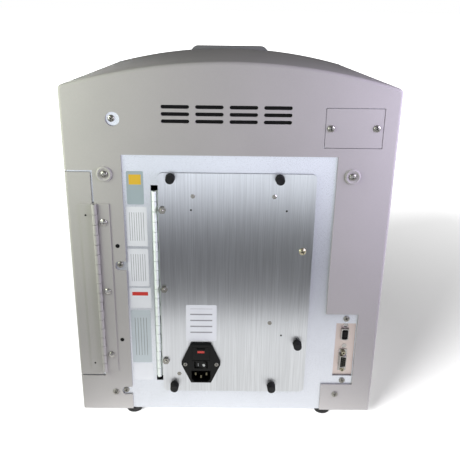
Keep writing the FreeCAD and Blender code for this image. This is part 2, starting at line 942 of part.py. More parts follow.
def reagent_bay():
    body = doc.addObject("PartDesign::Body", "ReagentBay")
    side = "inside - plate_gap - sheet - seat_gap"
    add(body, "BayProfile", "XZ", "bulkhead_face + seat_gap", "chassis_back - seat_gap", [
        ("reagent_wall", "base_top"),
        ("reagent_wall + sheet", "base_top"),
        ("reagent_wall + sheet", "bay_floor - sheet"),
        (side, "bay_floor - sheet"),
        (side, "bay_floor"),
        ("reagent_wall + sheet", "bay_floor"),
        ("reagent_wall + sheet", "bay_ceiling"),
        (side, "bay_ceiling"),
        (side, "bay_ceiling + sheet"),
        ("reagent_wall", "bay_ceiling + sheet"),
    ])
    return body


node("base_plate", base_plate())
node("chassis_plate", chassis_plate())
node("vent_filter", vent_filter())
node("bulkhead", bulkhead())
node("reagent_bay", reagent_bay())


def feet():
    pads = []
    for name, x, y in (("RearLeft", "foot_left", "rear_face - foot_inset"),
                       ("RearRight", "-(foot_right)", "rear_face - foot_inset"),
                       ("FrontLeft", "foot_left", "front_edge + foot_inset"),
                       ("FrontRight", "-(foot_right)", "front_edge + foot_inset")):
        foot = doc.addObject("Part::Cone", name + "Foot")
        foot.setExpression("Radius1", bound("foot_radius - foot_taper"))
        foot.setExpression("Radius2", bound("foot_radius"))
        foot.setExpression("Height", bound("foot_height"))
        pads.append(put(foot, (x, y, "0")))
    return group("Feet", pads)


node("feet", feet())


def option_cover():
    body = doc.addObject("PartDesign::Body", "OptionCover")
    add(body, "Cover", "XZ", "chassis_face", "rear_face", rounded_rectangle(
        ("option_right + option_gap", "option_left - option_gap"),
        ("option_bottom + option_gap", "option_top - option_gap"), "option_gap"))
    return body


node("option_cover", option_cover())


# Turned pieces and screws

def turned(name, profile, place, axis):
    """A turned piece: its profile is (radius, height) corners, set down along an axis."""
    body = doc.addObject("PartDesign::Body", name)
    ring = body.newObject("PartDesign::Revolution", name + "Turn")
    ring.Profile = sketch_on(body, name + "Profile", "XZ", "0", [profile])
    ring.ReferenceAxis = (ring.Profile[0], ["V_Axis"])
    ring.Angle = 360
    return put(body, place, axis)


def pan_screw(name, place, axis, radius, height):
    """A screw head with a rounded top, standing on its seat."""
    return turned(name, [
        ("0", "0"),
        (radius, "0"),
        (radius, f"{height} / 2", f"(({radius}) ^ 2 + ({height} / 2) ^ 2) / ({height})", 1),
        ("0", height),
    ], place, axis)


def cup_washers():
    rings = []
    screws = []
    for name, x in (("Left", "cup_left"), ("Right", "-(cup_right)")):
        rings.append(turned(name + "CupWasher", [
            ("cup_bore", "0"),
            ("cup_outer", "0"),
            ("cup_outer - cup_bevel", "cup_lip - cup_bevel"),
            ("cup_outer - 3 * cup_bevel", "cup_lip"),
            ("cup_seat", "cup_floor"),
            ("cup_bore", "cup_floor"),
        ], (x, "rear_face", "cup_height"), "y"))
        screws.append(pan_screw(name + "CupScrew", (x, "rear_face + cup_floor", "cup_height"), "y",
                                "screw_radius", "screw_height"))
    return group("CupWashers", rings), screws


washers, cup_screws = cup_washers()
node("cup_washers", washers)


# Piano hinges: a rolled leaf with every second knuckle cut away

def hinge_leaf(name, side, axis, depth, bottom, reach, count, first_gap):
    """One leaf; side is 1 where it runs towards +X, and first_gap is its first missing knuckle."""
    body = doc.addObject("PartDesign::Body", name)
    back = f"{depth} - barrel_radius"
    run = "sqrt(barrel_radius ^ 2 - (barrel_radius - leaf) ^ 2)"
    top = f"{depth} + barrel_radius"
    if side > 0:
        rolled = [
            (axis, back),
            (reach, back),
            (reach, f"{back} + leaf"),
            (f"{axis} + {run}", f"{back} + leaf", "barrel_radius", 1),
            (axis, top, "half", axis),
        ]
    else:
        rolled = [
            (reach, back),
            (axis, back, "half", axis),
            (axis, top, "barrel_radius", 1),
            (f"{axis} - {run}", f"{back} + leaf"),
            (reach, f"{back} + leaf"),
        ]
    add(body, name + "Rolled", "XY", bottom, f"{bottom} + {count} * knuckle_pitch",
        rolled, ["circle", axis, depth, "pin_radius + running"])
    start = f"{bottom} + {first_gap} * knuckle_pitch - knuckle_gap"
    gap = take(body, name + "Gap", "XY", start, f"{start} + knuckle_pitch + 2 * knuckle_gap", rectangle(
        (f"{axis} - barrel_radius - knuckle_gap", f"{axis} + barrel_radius + knuckle_gap"),
        (f"{back} - 1", f"{top} + 1")))
    repeat(body, name + "Gaps", gap, "Z_Axis", "2 * knuckle_pitch", count // 2)
    return body


def hinge_pin(name, axis, depth, bottom, count):
    return cylinder(name, (axis, depth, bottom), "z", "pin_radius", f"{count} * knuckle_pitch")


side_hinge = ("side_axis", "side_axis_depth", "side_hinge_bottom")
rear_hinge = ("rear_axis", "rear_axis_depth", "rear_hinge_bottom")
node("side_hinge_fixed_leaf", hinge_leaf(
    "SideFixedLeaf", -1, *side_hinge, "side_leaf_outer", SIDE_KNUCKLES, 1))
node("side_hinge_door_leaf", hinge_leaf(
    "SideDoorLeaf", 1, *side_hinge, "side_leaf_door", SIDE_KNUCKLES, 0))
node("side_hinge_pin", hinge_pin("SideHingePin", *side_hinge, SIDE_KNUCKLES))
node("rear_hinge_fixed_leaf", hinge_leaf(
    "RearFixedLeaf", 1, *rear_hinge, "rear_leaf_outer", REAR_KNUCKLES, 1))
packing = box("HingePacking", ("rear_leaf_door", "service_left"), ("chassis_back", "door_back"),
              ("rear_hinge_bottom", f"rear_hinge_bottom + {REAR_KNUCKLES} * knuckle_pitch"))
node("rear_hinge_door_leaf", fuse("PackedLeaf", packing, hinge_leaf(
    "RearDoorLeaf", -1, *rear_hinge, "rear_leaf_door", REAR_KNUCKLES, 0)))
node("rear_hinge_pin", hinge_pin("RearHingePin", *rear_hinge, REAR_KNUCKLES))

hinge_heads = []
for step in range(HINGE_SCREWS):
    hinge_heads.append(pan_screw(f"HingeScrew{step + 1}", (
        "side_axis - hinge_screw_offset", "rear_face + leaf",
        f"reagent_bottom + hinge_screw_rise + {step} * hinge_screw_pitch"),
        "y", "hinge_screw_radius", "hinge_screw_height"))
node("panel_screws", group("PanelScrews", hinge_heads + cup_screws))


# Reagent door, folded round the cabinet's rear corner

def reagent_door():
    body = doc.addObject("PartDesign::Body", "ReagentDoor")
    outer = "rear_edge_radius"
    inner = "rear_edge_radius - wall"
    add(body, "Fold", "XY", "reagent_bottom", "reagent_top", [
        ("reagent_flange", "rear_face - wall"),
        (f"half_width - wall - ({inner})", "rear_face - wall", inner, -1),
        ("half_width - wall", f"rear_face - wall - ({inner})"),
        ("half_width - wall", "reagent_front + wall"),
        ("half_width - door_return", "reagent_front + wall"),
        ("half_width - door_return", "reagent_front"),
        ("half_width", "reagent_front"),
        ("half_width", f"rear_face - {outer}", outer, 1),
        (f"half_width - {outer}", "rear_face"),
        ("reagent_flange", "rear_face"),
    ])
    for name, low in (("Lower", "reagent_bottom"), ("Upper", "reagent_top - wall")):
        add(body, name + "Shelf", "XY", low, f"{low} + wall", rectangle(
            ("half_width - wall - door_shelf", "half_width - wall"),
            ("reagent_front + wall", "chassis_back - tray_lip - door_return")))
    return body


node("reagent_door", reagent_door())
node("door_magnet", box("DoorMagnet", ("inside - magnet_width", "inside"),
                        ("reagent_front + wall + seat_gap", "reagent_front + wall + seat_gap + magnet_depth"),
                        ("magnet_bottom", "magnet_bottom + magnet_tall")))


# Service door

def service_door():
    body = doc.addObject("PartDesign::Body", "ServiceDoor")
    add(body, "Panel", "XZ", "door_back", "door_face", rounded_rectangle(
        ("service_right", "service_left"), ("service_bottom", "service_top"), "service_corner"))
    half = "inlet_body_width / 2 + seat_gap"
    tall = "inlet_body_tall / 2 + seat_gap"
    take(body, "InletOpening", "XZ", "door_back - 1", "door_face + 1", rectangle(
        (f"inlet_place - ({half})", f"inlet_place + {half}"),
        (f"inlet_height - ({tall})", f"inlet_height + {tall}")))
    return body


node("service_door", service_door())


def door_nuts():
    nuts = []
    for step in range(DOOR_NUTS):
        nut = doc.addObject("Part::Prism", f"DoorNut{step + 1}")
        nut.Polygon = 6
        nut.setExpression("Circumradius", bound("nut_across / sqrt(3)"))
        nut.setExpression("Height", bound("nut_height"))
        nuts.append(put(nut, ("service_left - nut_inset", "door_face",
                              f"service_bottom + nut_rise + {step} * nut_pitch"), "y"))
    return group("DoorNuts", nuts)


def bumpers():
    """Rubber posts that the cabinet can lie or stop against."""
    left = "service_left - bumper_inset_left"
    right = "service_right + bumper_inset_right"
    high = "service_top - bumper_drop"
    low = "service_bottom + bumper_rise"
    posts = []
    for count, (x, z) in enumerate(((left, high), (right, high), (left, low), (right, low),
                                    ("service_right + lock_inset", "spare_bumper_height")), 1):
        posts.append(turned(f"Bumper{count}", [
            ("0", "0"),
            ("bumper_radius", "0"),
            ("bumper_radius - bumper_draft", "bumper_length - bumper_tip", "bumper_tip", 1),
            ("bumper_radius - bumper_draft - bumper_tip", "bumper_length"),
            ("0", "bumper_length"),
        ], (x, "door_face", z), "y"))
    return group("Bumpers", posts)


node("door_nuts", door_nuts())
node("bumpers", bumpers())
node("door_lock_screw", pan_screw("DoorLockScrew", ("service_right + lock_inset", "door_face", "lock_height"), "y",
                                  "hinge_screw_radius", "lock_screw_height"))


# Power inlet module

def inlet_body():
    body = doc.addObject("PartDesign::Body", "InletBody")
    across = "inlet_width / 2"
    up = "inlet_tall / 2"
    neck = "inlet_neck / 2"
    x = "inlet_place"
    z = "inlet_height"
    add(body, "Flange", "XZ", "door_face", "flange_face", [
        (f"{x} - {neck}", f"{z} - {up}"),
        (f"{x} + {neck}", f"{z} - {up}"),
        (f"{x} + {across}", f"{z} - inlet_point"),
        (f"{x} + {across}", f"{z} + inlet_point"),
        (f"{x} + {neck}", f"{z} + {up}"),
        (f"{x} - {neck}", f"{z} + {up}"),
        (f"{x} - {across}", f"{z} + inlet_point"),
        (f"{x} - {across}", f"{z} - inlet_point"),
    ])
    face = number("flange_face")
    round_edges(body, "FlangeRounds", "inlet_round", lambda edge: edge.BoundBox.YMin > face - 0.01)
    add(body, "Housing", "XZ", "flange_face - inlet_depth", "door_face", rectangle(
        (f"{x} - inlet_body_width / 2", f"{x} + inlet_body_width / 2"),
        (f"{z} - inlet_body_tall / 2", f"{z} + inlet_body_tall / 2")))
    half = "socket_width / 2"
    low = "(socket_height - socket_tall / 2)"
    high = "(socket_height + socket_tall / 2)"
    take(body, "Socket", "XZ", "socket_back", "flange_face + 1", [
        (f"{x} - {half} + socket_corner", low),
        (f"{x} + {half} - socket_corner", low),
        (f"{x} + {half}", f"{low} + socket_corner"),
        (f"{x} + {half}", high),
        (f"{x} - {half}", high),
        (f"{x} - {half}", f"{low} + socket_corner"),
    ])
    take(body, "RockerWell", "XZ", "flange_face - rocker_well", "flange_face + 1", rectangle(
        (f"{x} - rocker_width / 2", f"{x} + rocker_width / 2"),
        ("rocker_height - rocker_tall / 2", "rocker_height + rocker_tall / 2")))
    take(body, "PivotHoles", "XY", "rocker_height - rocker_tall / 2 - pivot_reach - running",
         "rocker_height + rocker_tall / 2 + pivot_reach + running",
         ["circle", x, "pivot_depth", "pivot_radius + running"])
    take(body, "FuseWell", "XZ", "flange_face - cover_thick - fuse_well", "flange_face + 1", rectangle(
        (f"{x} - fuse_cover_width / 2", f"{x} + fuse_cover_width / 2"),
        ("fuse_bottom", "fuse_bottom + fuse_cover_tall")))
    return body


def inlet_pins():
    blades = []
    for name, offset, lift in (("Line", "-blade_offset", "blade_lift"), ("Neutral", "blade_offset", "blade_lift"),
                               ("Earth", "0", "-blade_lift")):
        x = f"inlet_place + ({offset})"
        z = f"socket_height + ({lift})"
        blades.append(box(name + "Pin", (f"{x} - blade_wide / 2", f"{x} + blade_wide / 2"),
                          ("socket_back", "flange_face - blade_recess"),
                          (f"{z} - blade_tall / 2", f"{z} + blade_tall / 2")))
    return group("InletPins", blades)


def fuse_cover():
    body = doc.addObject("PartDesign::Body", "FuseCover")
    left = "inlet_place - fuse_cover_width / 2 + seat_gap"
    right = "inlet_place + fuse_cover_width / 2 - seat_gap"
    low = "fuse_bottom + seat_gap"
    high = "fuse_bottom + fuse_cover_tall - seat_gap"
    pivot = f"{low} + cover_thick / 2"
    add(body, "Flap", "YZ", left, right, [
        ("flange_face - cover_thick", f"{high}"),
        ("flange_face - cover_thick", pivot, "half", pivot),
        ("flange_face", pivot),
        ("flange_face", high),
    ])
    take(body, "FingerNotch", "XZ", "flange_face - cover_thick / 2", "flange_face + 1", rectangle(
        ("inlet_place - finger_width / 2", "inlet_place + finger_width / 2"),
        (f"{high} - finger_tall", f"{high} + 1")))
    take(body, "FuseWindow", "XZ", "flange_face - pane_sink", "flange_face + 1", rectangle(
        ("inlet_place - pane_width / 2", "inlet_place + pane_width / 2"),
        (f"{high} - pane_drop - pane_tall", f"{high} - pane_drop")))
    return body


def fuses():
    tubes = []
    for count, offset in enumerate(("-fuse_offset", "fuse_offset"), 1):
        place = (f"inlet_place + ({offset})", "flange_face - cover_thick - fuse_well",
                 "fuse_bottom + fuse_cover_tall / 2")
        tubes.append(cylinder(f"Fuse{count}", place, "y", "fuse_radius", "fuse_length"))
    return group("Fuses", tubes)


def rocker():
    """A rocker that lies with its left end pressed in, turning on stub pins about an upright axis."""
    body = doc.addObject("PartDesign::Body", "Rocker")
    low = "rocker_height - rocker_tall / 2"
    high = "rocker_height + rocker_tall / 2"
    reach = "(rocker_width / 2 - rocker_end_gap)"
    add(body, "Paddle", "XY", f"{low} + seat_gap", f"{high} - seat_gap", [
        (f"inlet_place - {reach}", "flange_face + rocker_rise"),
        (f"inlet_place - {reach} + rocker_bevel", "flange_face - rocker_foot"),
        (f"inlet_place + {reach} - rocker_bevel", "flange_face - rocker_foot - rocker_tilt_drop"),
        (f"inlet_place + {reach}", "flange_face - rocker_end_gap"),
        ("inlet_place", "flange_face - rocker_dip"),
    ])
    add(body, "StubPins", "XY", f"{low} - pivot_reach", f"{high} + pivot_reach",
        ["circle", "inlet_place", "pivot_depth", "pivot_radius"])
    return body


node("inlet_body", inlet_body())
node("inlet_pins", inlet_pins())
node("fuse_cover", fuse_cover())
node("fuses", fuses())
node("rocker_switch", rocker())


# Connector panel

def port_bracket():
    """A plate behind the connector window with its edges turned forwards."""
    body = doc.addObject("PartDesign::Body", "PortBracket")
    add(body, "Plate", "XZ", "port_face - bracket", "port_face", rectangle(
        ("port_right - port_lap", "port_left + port_lap"), ("port_bottom - port_lap", "port_top + port_lap")))
    for name, edge in (("Left", ("port_left + port_lap - bracket", "port_left + port_lap")),
                       ("Right", ("port_right - port_lap", "port_right - port_lap + bracket"))):
        add(body, name + "Return", "XZ", "port_face - 2 * port_lap", "port_face - bracket", rectangle(
            edge, ("port_bottom - port_lap", "port_top + port_lap")))
    return body


def data_port():
    body = doc.addObject("PartDesign::Body", "DataPort")
    x = "port_middle"
    z = "data_height"
    half = "data_width / 2"
    up = "data_tall / 2"
    cut_in = "data_rim + data_cut"
    add(body, "Shell", "XZ", "port_face", "port_face + data_reach", rectangle(
        (f"{x} - {half}", f"{x} + {half}"), (f"{z} - {up}", f"{z} + {up}")))
    take(body, "Opening", "XZ", "port_face + serial_flange", "port_face + data_reach + 1", [
        (f"{x} - {half} + {cut_in}", f"{z} - {up} + data_rim"),
        (f"{x} + {half} - ({cut_in})", f"{z} - {up} + data_rim"),
        (f"{x} + {half} - data_rim", f"{z} - {up} + {cut_in}"),
        (f"{x} + {half} - data_rim", f"{z} + {up} - ({cut_in})"),
        (f"{x} + {half} - ({cut_in})", f"{z} + {up} - data_rim"),
        (f"{x} - {half} + {cut_in}", f"{z} + {up} - data_rim"),
        (f"{x} - {half} + data_rim", f"{z} + {up} - ({cut_in})"),
        (f"{x} - {half} + data_rim", f"{z} - {up} + {cut_in}"),
    ])
    add(body, "Tongue", "XZ", "port_face + serial_flange", "port_face + data_reach - data_rim / 2", rectangle(
        (f"{x} - {half} / 3", f"{x} + {half} / 3"), (f"{z} - {up} / 2", f"{z} + {up} / 2")))
    return body


def serial_port():
    body = doc.addObject("PartDesign::Body", "SerialPort")
    x = "port_middle"
    z = "serial_height"
    half = "serial_width / 2"
    up = "serial_tall / 2"
    reach = "jack_spacing / 2 + jack_radius + serial_rim"
    add(body, "Flange", "XZ", "port_face", "port_face + serial_flange", rounded_rectangle(
        (f"{x} - {half} - serial_rim", f"{x} + {half} + serial_rim"), (f"{z} - ({reach})", f"{z} + {reach}"),
        "serial_flange"))
    add(body, "Shell", "XZ", "port_face + serial_flange", "port_face + serial_reach", [
        (f"{x} - {half}", f"{z} - {up} + serial_taper"),
        (f"{x} + {half}", f"{z} - {up}"),
        (f"{x} + {half}", f"{z} + {up}"),
        (f"{x} - {half}", f"{z} + {up} - serial_taper"),
    ])
    add(body, "Jacks", "XZ", "port_face + serial_flange", "port_face + jack_reach",
        ["circle", x, f"{z} - jack_spacing / 2", "jack_radius"],
        ["circle", x, f"{z} + jack_spacing / 2", "jack_radius"])
    return body


node("port_bracket", port_bracket())
node("data_port", data_port())
node("serial_port", serial_port())


# Front fascia, sample bay and carousel

def fascia():
    body = doc.addObject("PartDesign::Body", "Fascia")
    add(body, "Face", "XZ", "fascia_face", "front_edge - seat_gap", arch(
        "half_width", "front_shoulder_height", "front_arch", "foot_height"))
    face = number("fascia_face")
    round_edges(body, "CornerRounds", "shoulder_radius", lambda edge: edge.BoundBox.YLength > 1)
    round_edges(body, "FaceRounds", "fascia_round", lambda edge: edge.BoundBox.YMax < face + 0.01)
    add(body, "Column", "XZ", "nose_face", "front_edge - seat_gap", rounded_rectangle(
        ("-(brow_half)", "brow_half"), ("brow_bottom", "brow_height"), "brow_corner"))
    nose = number("nose_face")
    round_edges(body, "ColumnRounds", "brow_round", lambda edge: edge.BoundBox.YMax < nose + 0.01)
    take(body, "Back", "XZ", "fascia_face + fascia_wall", "front_edge + 1", arch(
        "half_width - fascia_wall", "front_shoulder_height - fascia_wall", "front_arch - fascia_wall",
        "foot_height + fascia_wall"))
    take(body, "ColumnBack", "XZ", "nose_face + fascia_wall", "front_edge + 1", rounded_rectangle(
        ("-(brow_half) + fascia_wall", "brow_half - fascia_wall"),
        ("brow_bottom + fascia_wall", "front_crown_height - 2 * fascia_wall"), "brow_corner - fascia_wall"))
    take(body, "BayOpening", "XZ", "nose_face - 1", "front_edge + 1", rounded_rectangle(
        ("-(bay_half) - liner", "bay_half + liner"), ("bay_bottom", "bay_top"), "bay_corner"))
    take(body, "LensSeat", "XZ", "nose_face - 1", "nose_face + fascia_wall + 1",
         ["circle", "0", "lens_height", "lens_cap + running"])
    return body


def bay_liner():
    body = doc.addObject("PartDesign::Body", "BayLiner")
    side = "bay_half + liner - seat_gap"
    add(body, "Shell", "XZ", "fascia_face", "bay_back", rounded_rectangle(
        (f"-({side})", side), ("bay_bottom + seat_gap", "bay_top - seat_gap"), "bay_corner - seat_gap"))
    take(body, "Bay", "XZ", "fascia_face - 1", "bay_back - liner", rounded_rectangle(
        (f"-({side}) + liner", f"{side} - liner"), ("bay_bottom + liner", "bay_top - liner"),
        "bay_corner - liner"))
    take(body, "ShaftHole", "XY", "bay_bottom - 1", "bay_bottom + liner + 1",
         ["circle", "0", "carousel_place", "shaft_radius + shaft_room"])
    take(body, "ProbeHole", "XY", "bay_top - liner - 1", "bay_top + 1",
         ["circle", "0", "probe_reach", "needle_hole"])
    return body


def sample_stage():
    """The round drip tray under the carousel."""
    bore = "shaft_radius + shaft_room"
    return turned("SampleStage", [
        (bore, "0"),
        ("stage_radius", "0"),
        ("stage_radius", "stage_lip"),
        ("stage_radius - stage_rim", "stage_lip"),
        ("stage_radius - 1.5 * stage_rim", "stage_floor"),
        (f"{bore} + stage_floor", "stage_floor"),
        (f"{bore} + stage_floor", "stage_boss"),
        (bore, "stage_boss"),
    ], ("0", "carousel_place", "bay_bottom + liner + seat_gap"), "z")


def carousel():
    """Two plates on a waisted hub; the upper one has a hole for each sample cup."""
    body = doc.addObject("PartDesign::Body", "Carousel")
    ring = body.newObject("PartDesign::Revolution", "CarouselTurn")
    waist = "carousel_neck + carousel_flare"
    ring.Profile = sketch_on(body, "CarouselProfile", "XZ", "0", [[
        ("shaft_radius", "0"),
        ("carousel_radius", "0"),
        ("carousel_radius", "carousel_plate"),
        (waist, "carousel_plate"),
        ("carousel_neck", "carousel_plate + carousel_flare"),
        ("carousel_neck", "carousel_ring - carousel_plate"),
        (waist, "carousel_ring"),
        ("carousel_radius", "carousel_ring"),
        ("carousel_radius", "carousel_ring + carousel_plate"),
        (waist, "carousel_ring + carousel_plate"),
        ("carousel_cap", "carousel_ring + 2 * carousel_plate"),
        ("carousel_cap", "carousel_top - carousel_bevel"),
        ("carousel_cap - carousel_bevel", "carousel_top"),
        ("shaft_radius", "carousel_top"),
    ]])
    ring.ReferenceAxis = (ring.Profile[0], ["V_Axis"])
    ring.Angle = 360
    hole = take(body, "CupHole", "XY", "carousel_ring - 1", "carousel_ring + carousel_plate + 1",
                ["circle", "0", "cup_circle", "cup_hole"])
    around(body, "CupHoles", hole, CUPS)
    return put(body, ("0", "carousel_place", "carousel_bottom"))


def carousel_motor():
    can = box("MotorCan", ("-(motor_half)", "motor_half"),
              ("carousel_place - motor_half", "carousel_place + motor_half"), ("base_top", "motor_top"))
    bore = cylinder("MotorBore", ("0", "carousel_place", "motor_top - shaft_sink - seat_gap"), "z",
                    "shaft_radius + running", "2 * shaft_sink")
    return cut("CarouselMotor", can, bore)


node("front_fascia", fascia())
node("bay_liner", bay_liner())
node("sample_stage", sample_stage())
node("carousel", carousel())
node("carousel_shaft", cylinder("CarouselShaft", ("0", "carousel_place", "motor_top - shaft_sink"), "z",
                                "shaft_radius", "carousel_bottom + shaft_grip - motor_top + shaft_sink"))
node("carousel_motor", carousel_motor())
node("status_lens", cylinder("StatusLens", ("0", "nose_face", "lens_height"), "y", "lens_cap", "lens_depth"))


# Probe drive above the bay

def probe_frame():
    body = doc.addObject("PartDesign::Body", "ProbeFrame")
    front = "probe_reach - drive_front"
    back = "bulkhead_place - seat_gap"
    add(body, "Channel", "YZ", "-(drive_half)", "drive_half", [
        (front, "bay_top"),
        (back, "bay_top"),
        (back, "drive_top"),
        (front, "drive_top"),
        (front, "drive_top - drive_plate"),
        (f"{back} - drive_web", "drive_top - drive_plate"),
        (f"{back} - drive_web", "bay_top + drive_plate"),
        (front, "bay_top + drive_plate"),
    ])
    take(body, "NeedlePass", "XY", "bay_top - 1", "bay_top + drive_plate + 1",
         ["circle", "0", "probe_reach", "needle_pass"])
    take(body, "ScrewSeats", "XY", "bay_top + drive_plate / 2", "drive_top + 1",
         ["circle", "0", "screw_place", "rail_radius + running"])
    return body


def probe_rails():
    rails = []
    for name, place in (("Left", "rail_spread"), ("Right", "-(rail_spread)")):
        rails.append(cylinder(f"ProbeRail{name}", (place, "rail_place", "bay_top + drive_plate"), "z",
                              "rail_radius", "drive_top - bay_top - 2 * drive_plate"))
    return group("ProbeRails", rails)


def probe_carriage():
    body = doc.addObject("PartDesign::Body", "ProbeCarriage")
    add(body, "Block", "XY", "carriage_bottom", "carriage_bottom + carriage_tall", rectangle(
        ("-(rail_spread) - carriage_margin", "rail_spread + carriage_margin"),
        ("probe_reach - carriage_margin", "screw_place + carriage_margin")))
    take(body, "Bores", "XY", "carriage_bottom - 1", "carriage_bottom + carriage_tall + 1",
         ["circle", "rail_spread", "rail_place", "rail_radius + running"],
         ["circle", "-(rail_spread)", "rail_place", "rail_radius + running"],
         ["circle", "0", "screw_place", "rail_radius + running"],
         ["circle", "0", "probe_reach", "needle_radius"])
    return body


def probe_motor():
    can = box("ProbeMotorCan", ("-(probe_motor_half)", "probe_motor_half"),
              ("screw_place - probe_motor_half", "screw_place + probe_motor_half"),
              ("drive_top + seat_gap", "drive_top + probe_motor_tall"))
    bore = cylinder("ProbeMotorBore", ("0", "screw_place", "drive_top"), "z",
                    "rail_radius + running", "screw_tail + seat_gap")
    return cut("ProbeMotor", can, bore)


node("probe_frame", probe_frame())
node("probe_rails", probe_rails())
node("probe_carriage", probe_carriage())
node("probe_needle", cylinder("ProbeNeedle", ("0", "probe_reach", "needle_tip"), "z", "needle_radius",
                              "carriage_bottom + carriage_tall + needle_tail - needle_tip"))
node("lead_screw", cylinder("LeadScrew", ("0", "screw_place", "bay_top + screw_seat"), "z", "rail_radius",
                            "drive_top + screw_tail - bay_top - screw_seat"))
node("probe_motor", probe_motor())


# Syringe pump

def pump_case():
    body = doc.addObject("PartDesign::Body", "PumpBody")
    add(body, "Case", "XY", "base_top", "pump_top", rounded_rectangle(
        ("pump_left", "pump_right"), ("pump_front", "pump_front + pump_depth"), "pump_corner"))
    take(body, "ArmSlot", "YZ", "pump_left - 1", "pump_left + arm_slot", rectangle(
        ("pump_middle - arm_room", "pump_middle + arm_room"),
        ("plunger_arm - plunger_travel - arm_room", "plunger_arm + arm_room")))
    return body


def syringe_barrel():
    shoulder = "barrel_tall - barrel_neck"
    return turned("SyringeBarrel", [
        ("barrel_inner", "0"),
        ("barrel_outer + barrel_flange", "0"),
        ("barrel_outer + barrel_flange", "barrel_flange"),
        ("barrel_outer", "barrel_flange"),
        ("barrel_outer", shoulder),
        ("barrel_tip", "barrel_tall"),
        ("barrel_tip", shoulder),
        ("barrel_inner", shoulder),
    ], ("syringe_place", "pump_middle", "barrel_bottom"), "z")


VALVE_HEIGHT = "(barrel_bottom + barrel_tall + valve_tall / 2)"


def valve_block():
    block = box("ValveBlock", ("syringe_place - clamp_half", "pump_left"),
                ("pump_middle - valve_half", "pump_middle + valve_half"),
                ("barrel_bottom + barrel_tall", "barrel_bottom + barrel_tall + valve_tall"))
    bore = cylinder("ValveBore", ("syringe_place", "pump_middle - valve_half - 1", VALVE_HEIGHT), "y",
                    "valve_radius + running", "valve_length - valve_front + valve_half + valve_room + 1")
    return cut("PumpValveBlock", block, bore)


def barrel_clamp():
    block = box("ClampBlock", ("syringe_place - clamp_half", "pump_left"),
                ("pump_middle - clamp_half", "pump_middle + clamp_half"),
                ("barrel_bottom + clamp_rise", "barrel_bottom + 2 * clamp_rise"))
    bore = cylinder("ClampBore", ("syringe_place", "pump_middle", "barrel_bottom + clamp_rise - 1"), "z",
                    "barrel_outer", "clamp_rise + 2")
    return cut("BarrelClamp", block, bore)


def plunger():
    piston = cylinder("Piston", ("syringe_place", "pump_middle", "barrel_bottom + plunger_top"), "z",
                      "barrel_inner - running", "plunger_head")
    rod = cylinder("PlungerRod", ("syringe_place", "pump_middle", "plunger_arm"), "z", "plunger_rod",
                   "barrel_bottom + plunger_top + 1 - plunger_arm")
    arm = box("PlungerArm", ("syringe_place - arm_room", "pump_left + arm_slot - arm_gap"),
              ("pump_middle - arm_half", "pump_middle + arm_half"),
              ("plunger_arm - arm_half", "plunger_arm + arm_half"))
    return fuse("Plunger", piston, rod, arm)


node("pump_body", fuse("PumpCasting", pump_case(), valve_block(), barrel_clamp()))
node("syringe_barrel", syringe_barrel())
node("syringe_plunger", plunger())
node("valve_rotor", cylinder("ValveRotor", ("syringe_place", "pump_middle - valve_front", VALVE_HEIGHT), "y",
                             "valve_radius", "valve_length"))


# Optics beside the sample bay

def optics_bench():
    body = doc.addObject("PartDesign::Body", "OpticsBench")
    x = "optics_place"
    table = "optics_height - bench_sole"
    add(body, "Rail", "XZ", "optics_front", "optics_back", [
        (f"{x} - bench_half", "base_top"),
        (f"{x} + bench_half", "base_top"),
        (f"{x} + bench_half", "base_top + bench_foot"),
        (f"{x} + bench_web", "base_top + 2 * bench_foot"),
        (f"{x} + bench_web", f"{table} - 2 * bench_foot"),
        (f"{x} + bench_table", f"{table} - bench_foot"),
        (f"{x} + bench_table", table),
        (f"{x} - bench_table", table),
        (f"{x} - bench_table", f"{table} - bench_foot"),
        (f"{x} - bench_web", f"{table} - 2 * bench_foot"),
        (f"{x} - bench_web", "base_top + 2 * bench_foot"),
        (f"{x} - bench_half", "base_top + bench_foot"),
    ])
    for name, middle, bore in (("Lamp", "lamp_place", "lamp_radius"), ("Lens", "lens_place", "lens_radius")):
        add(body, name + "Upright", "XZ", f"{middle} - holder_depth / 2", f"{middle} + holder_depth / 2",
            rectangle((f"{x} - holder_half", f"{x} + holder_half"), (table, "optics_height + holder_half")))
        take(body, name + "Bore", "XZ", f"{middle} - holder_depth", f"{middle} + holder_depth",
             ["circle", x, "optics_height", bore])
    return body


def flow_cell():
    block = box("FlowCellBlock", ("optics_place - cell_half", "optics_place + cell_half"),
                ("cell_place - cell_depth / 2", "cell_place + cell_depth / 2"),
                ("optics_height - bench_sole", "optics_height + cell_top"))
    pane = box("FlowCellWindow", ("optics_place - cell_pane / 2", "optics_place + cell_pane / 2"),
               ("cell_place - cell_depth", "cell_place + cell_depth"),
               ("optics_height - cell_pane / 2", "optics_height + cell_pane / 2"))
    return cut("FlowCell", block, pane)


node("optics_bench", optics_bench())
node("lamp", cylinder("Lamp", ("optics_place", "lamp_place - lamp_length / 2", "optics_height"), "y",
                      "lamp_radius", "lamp_length"))
node("objective", cylinder("Objective", ("optics_place", "lens_back - lens_length", "optics_height"), "y",
                           "lens_radius", "lens_length"))
node("flow_cell", flow_cell())
node("camera", box("Camera", ("optics_place - camera_half", "optics_place + camera_half"),
                   ("lens_back", "lens_back + camera_depth"),
                   ("optics_height - camera_half", "optics_height + camera_half")))


# Electronics

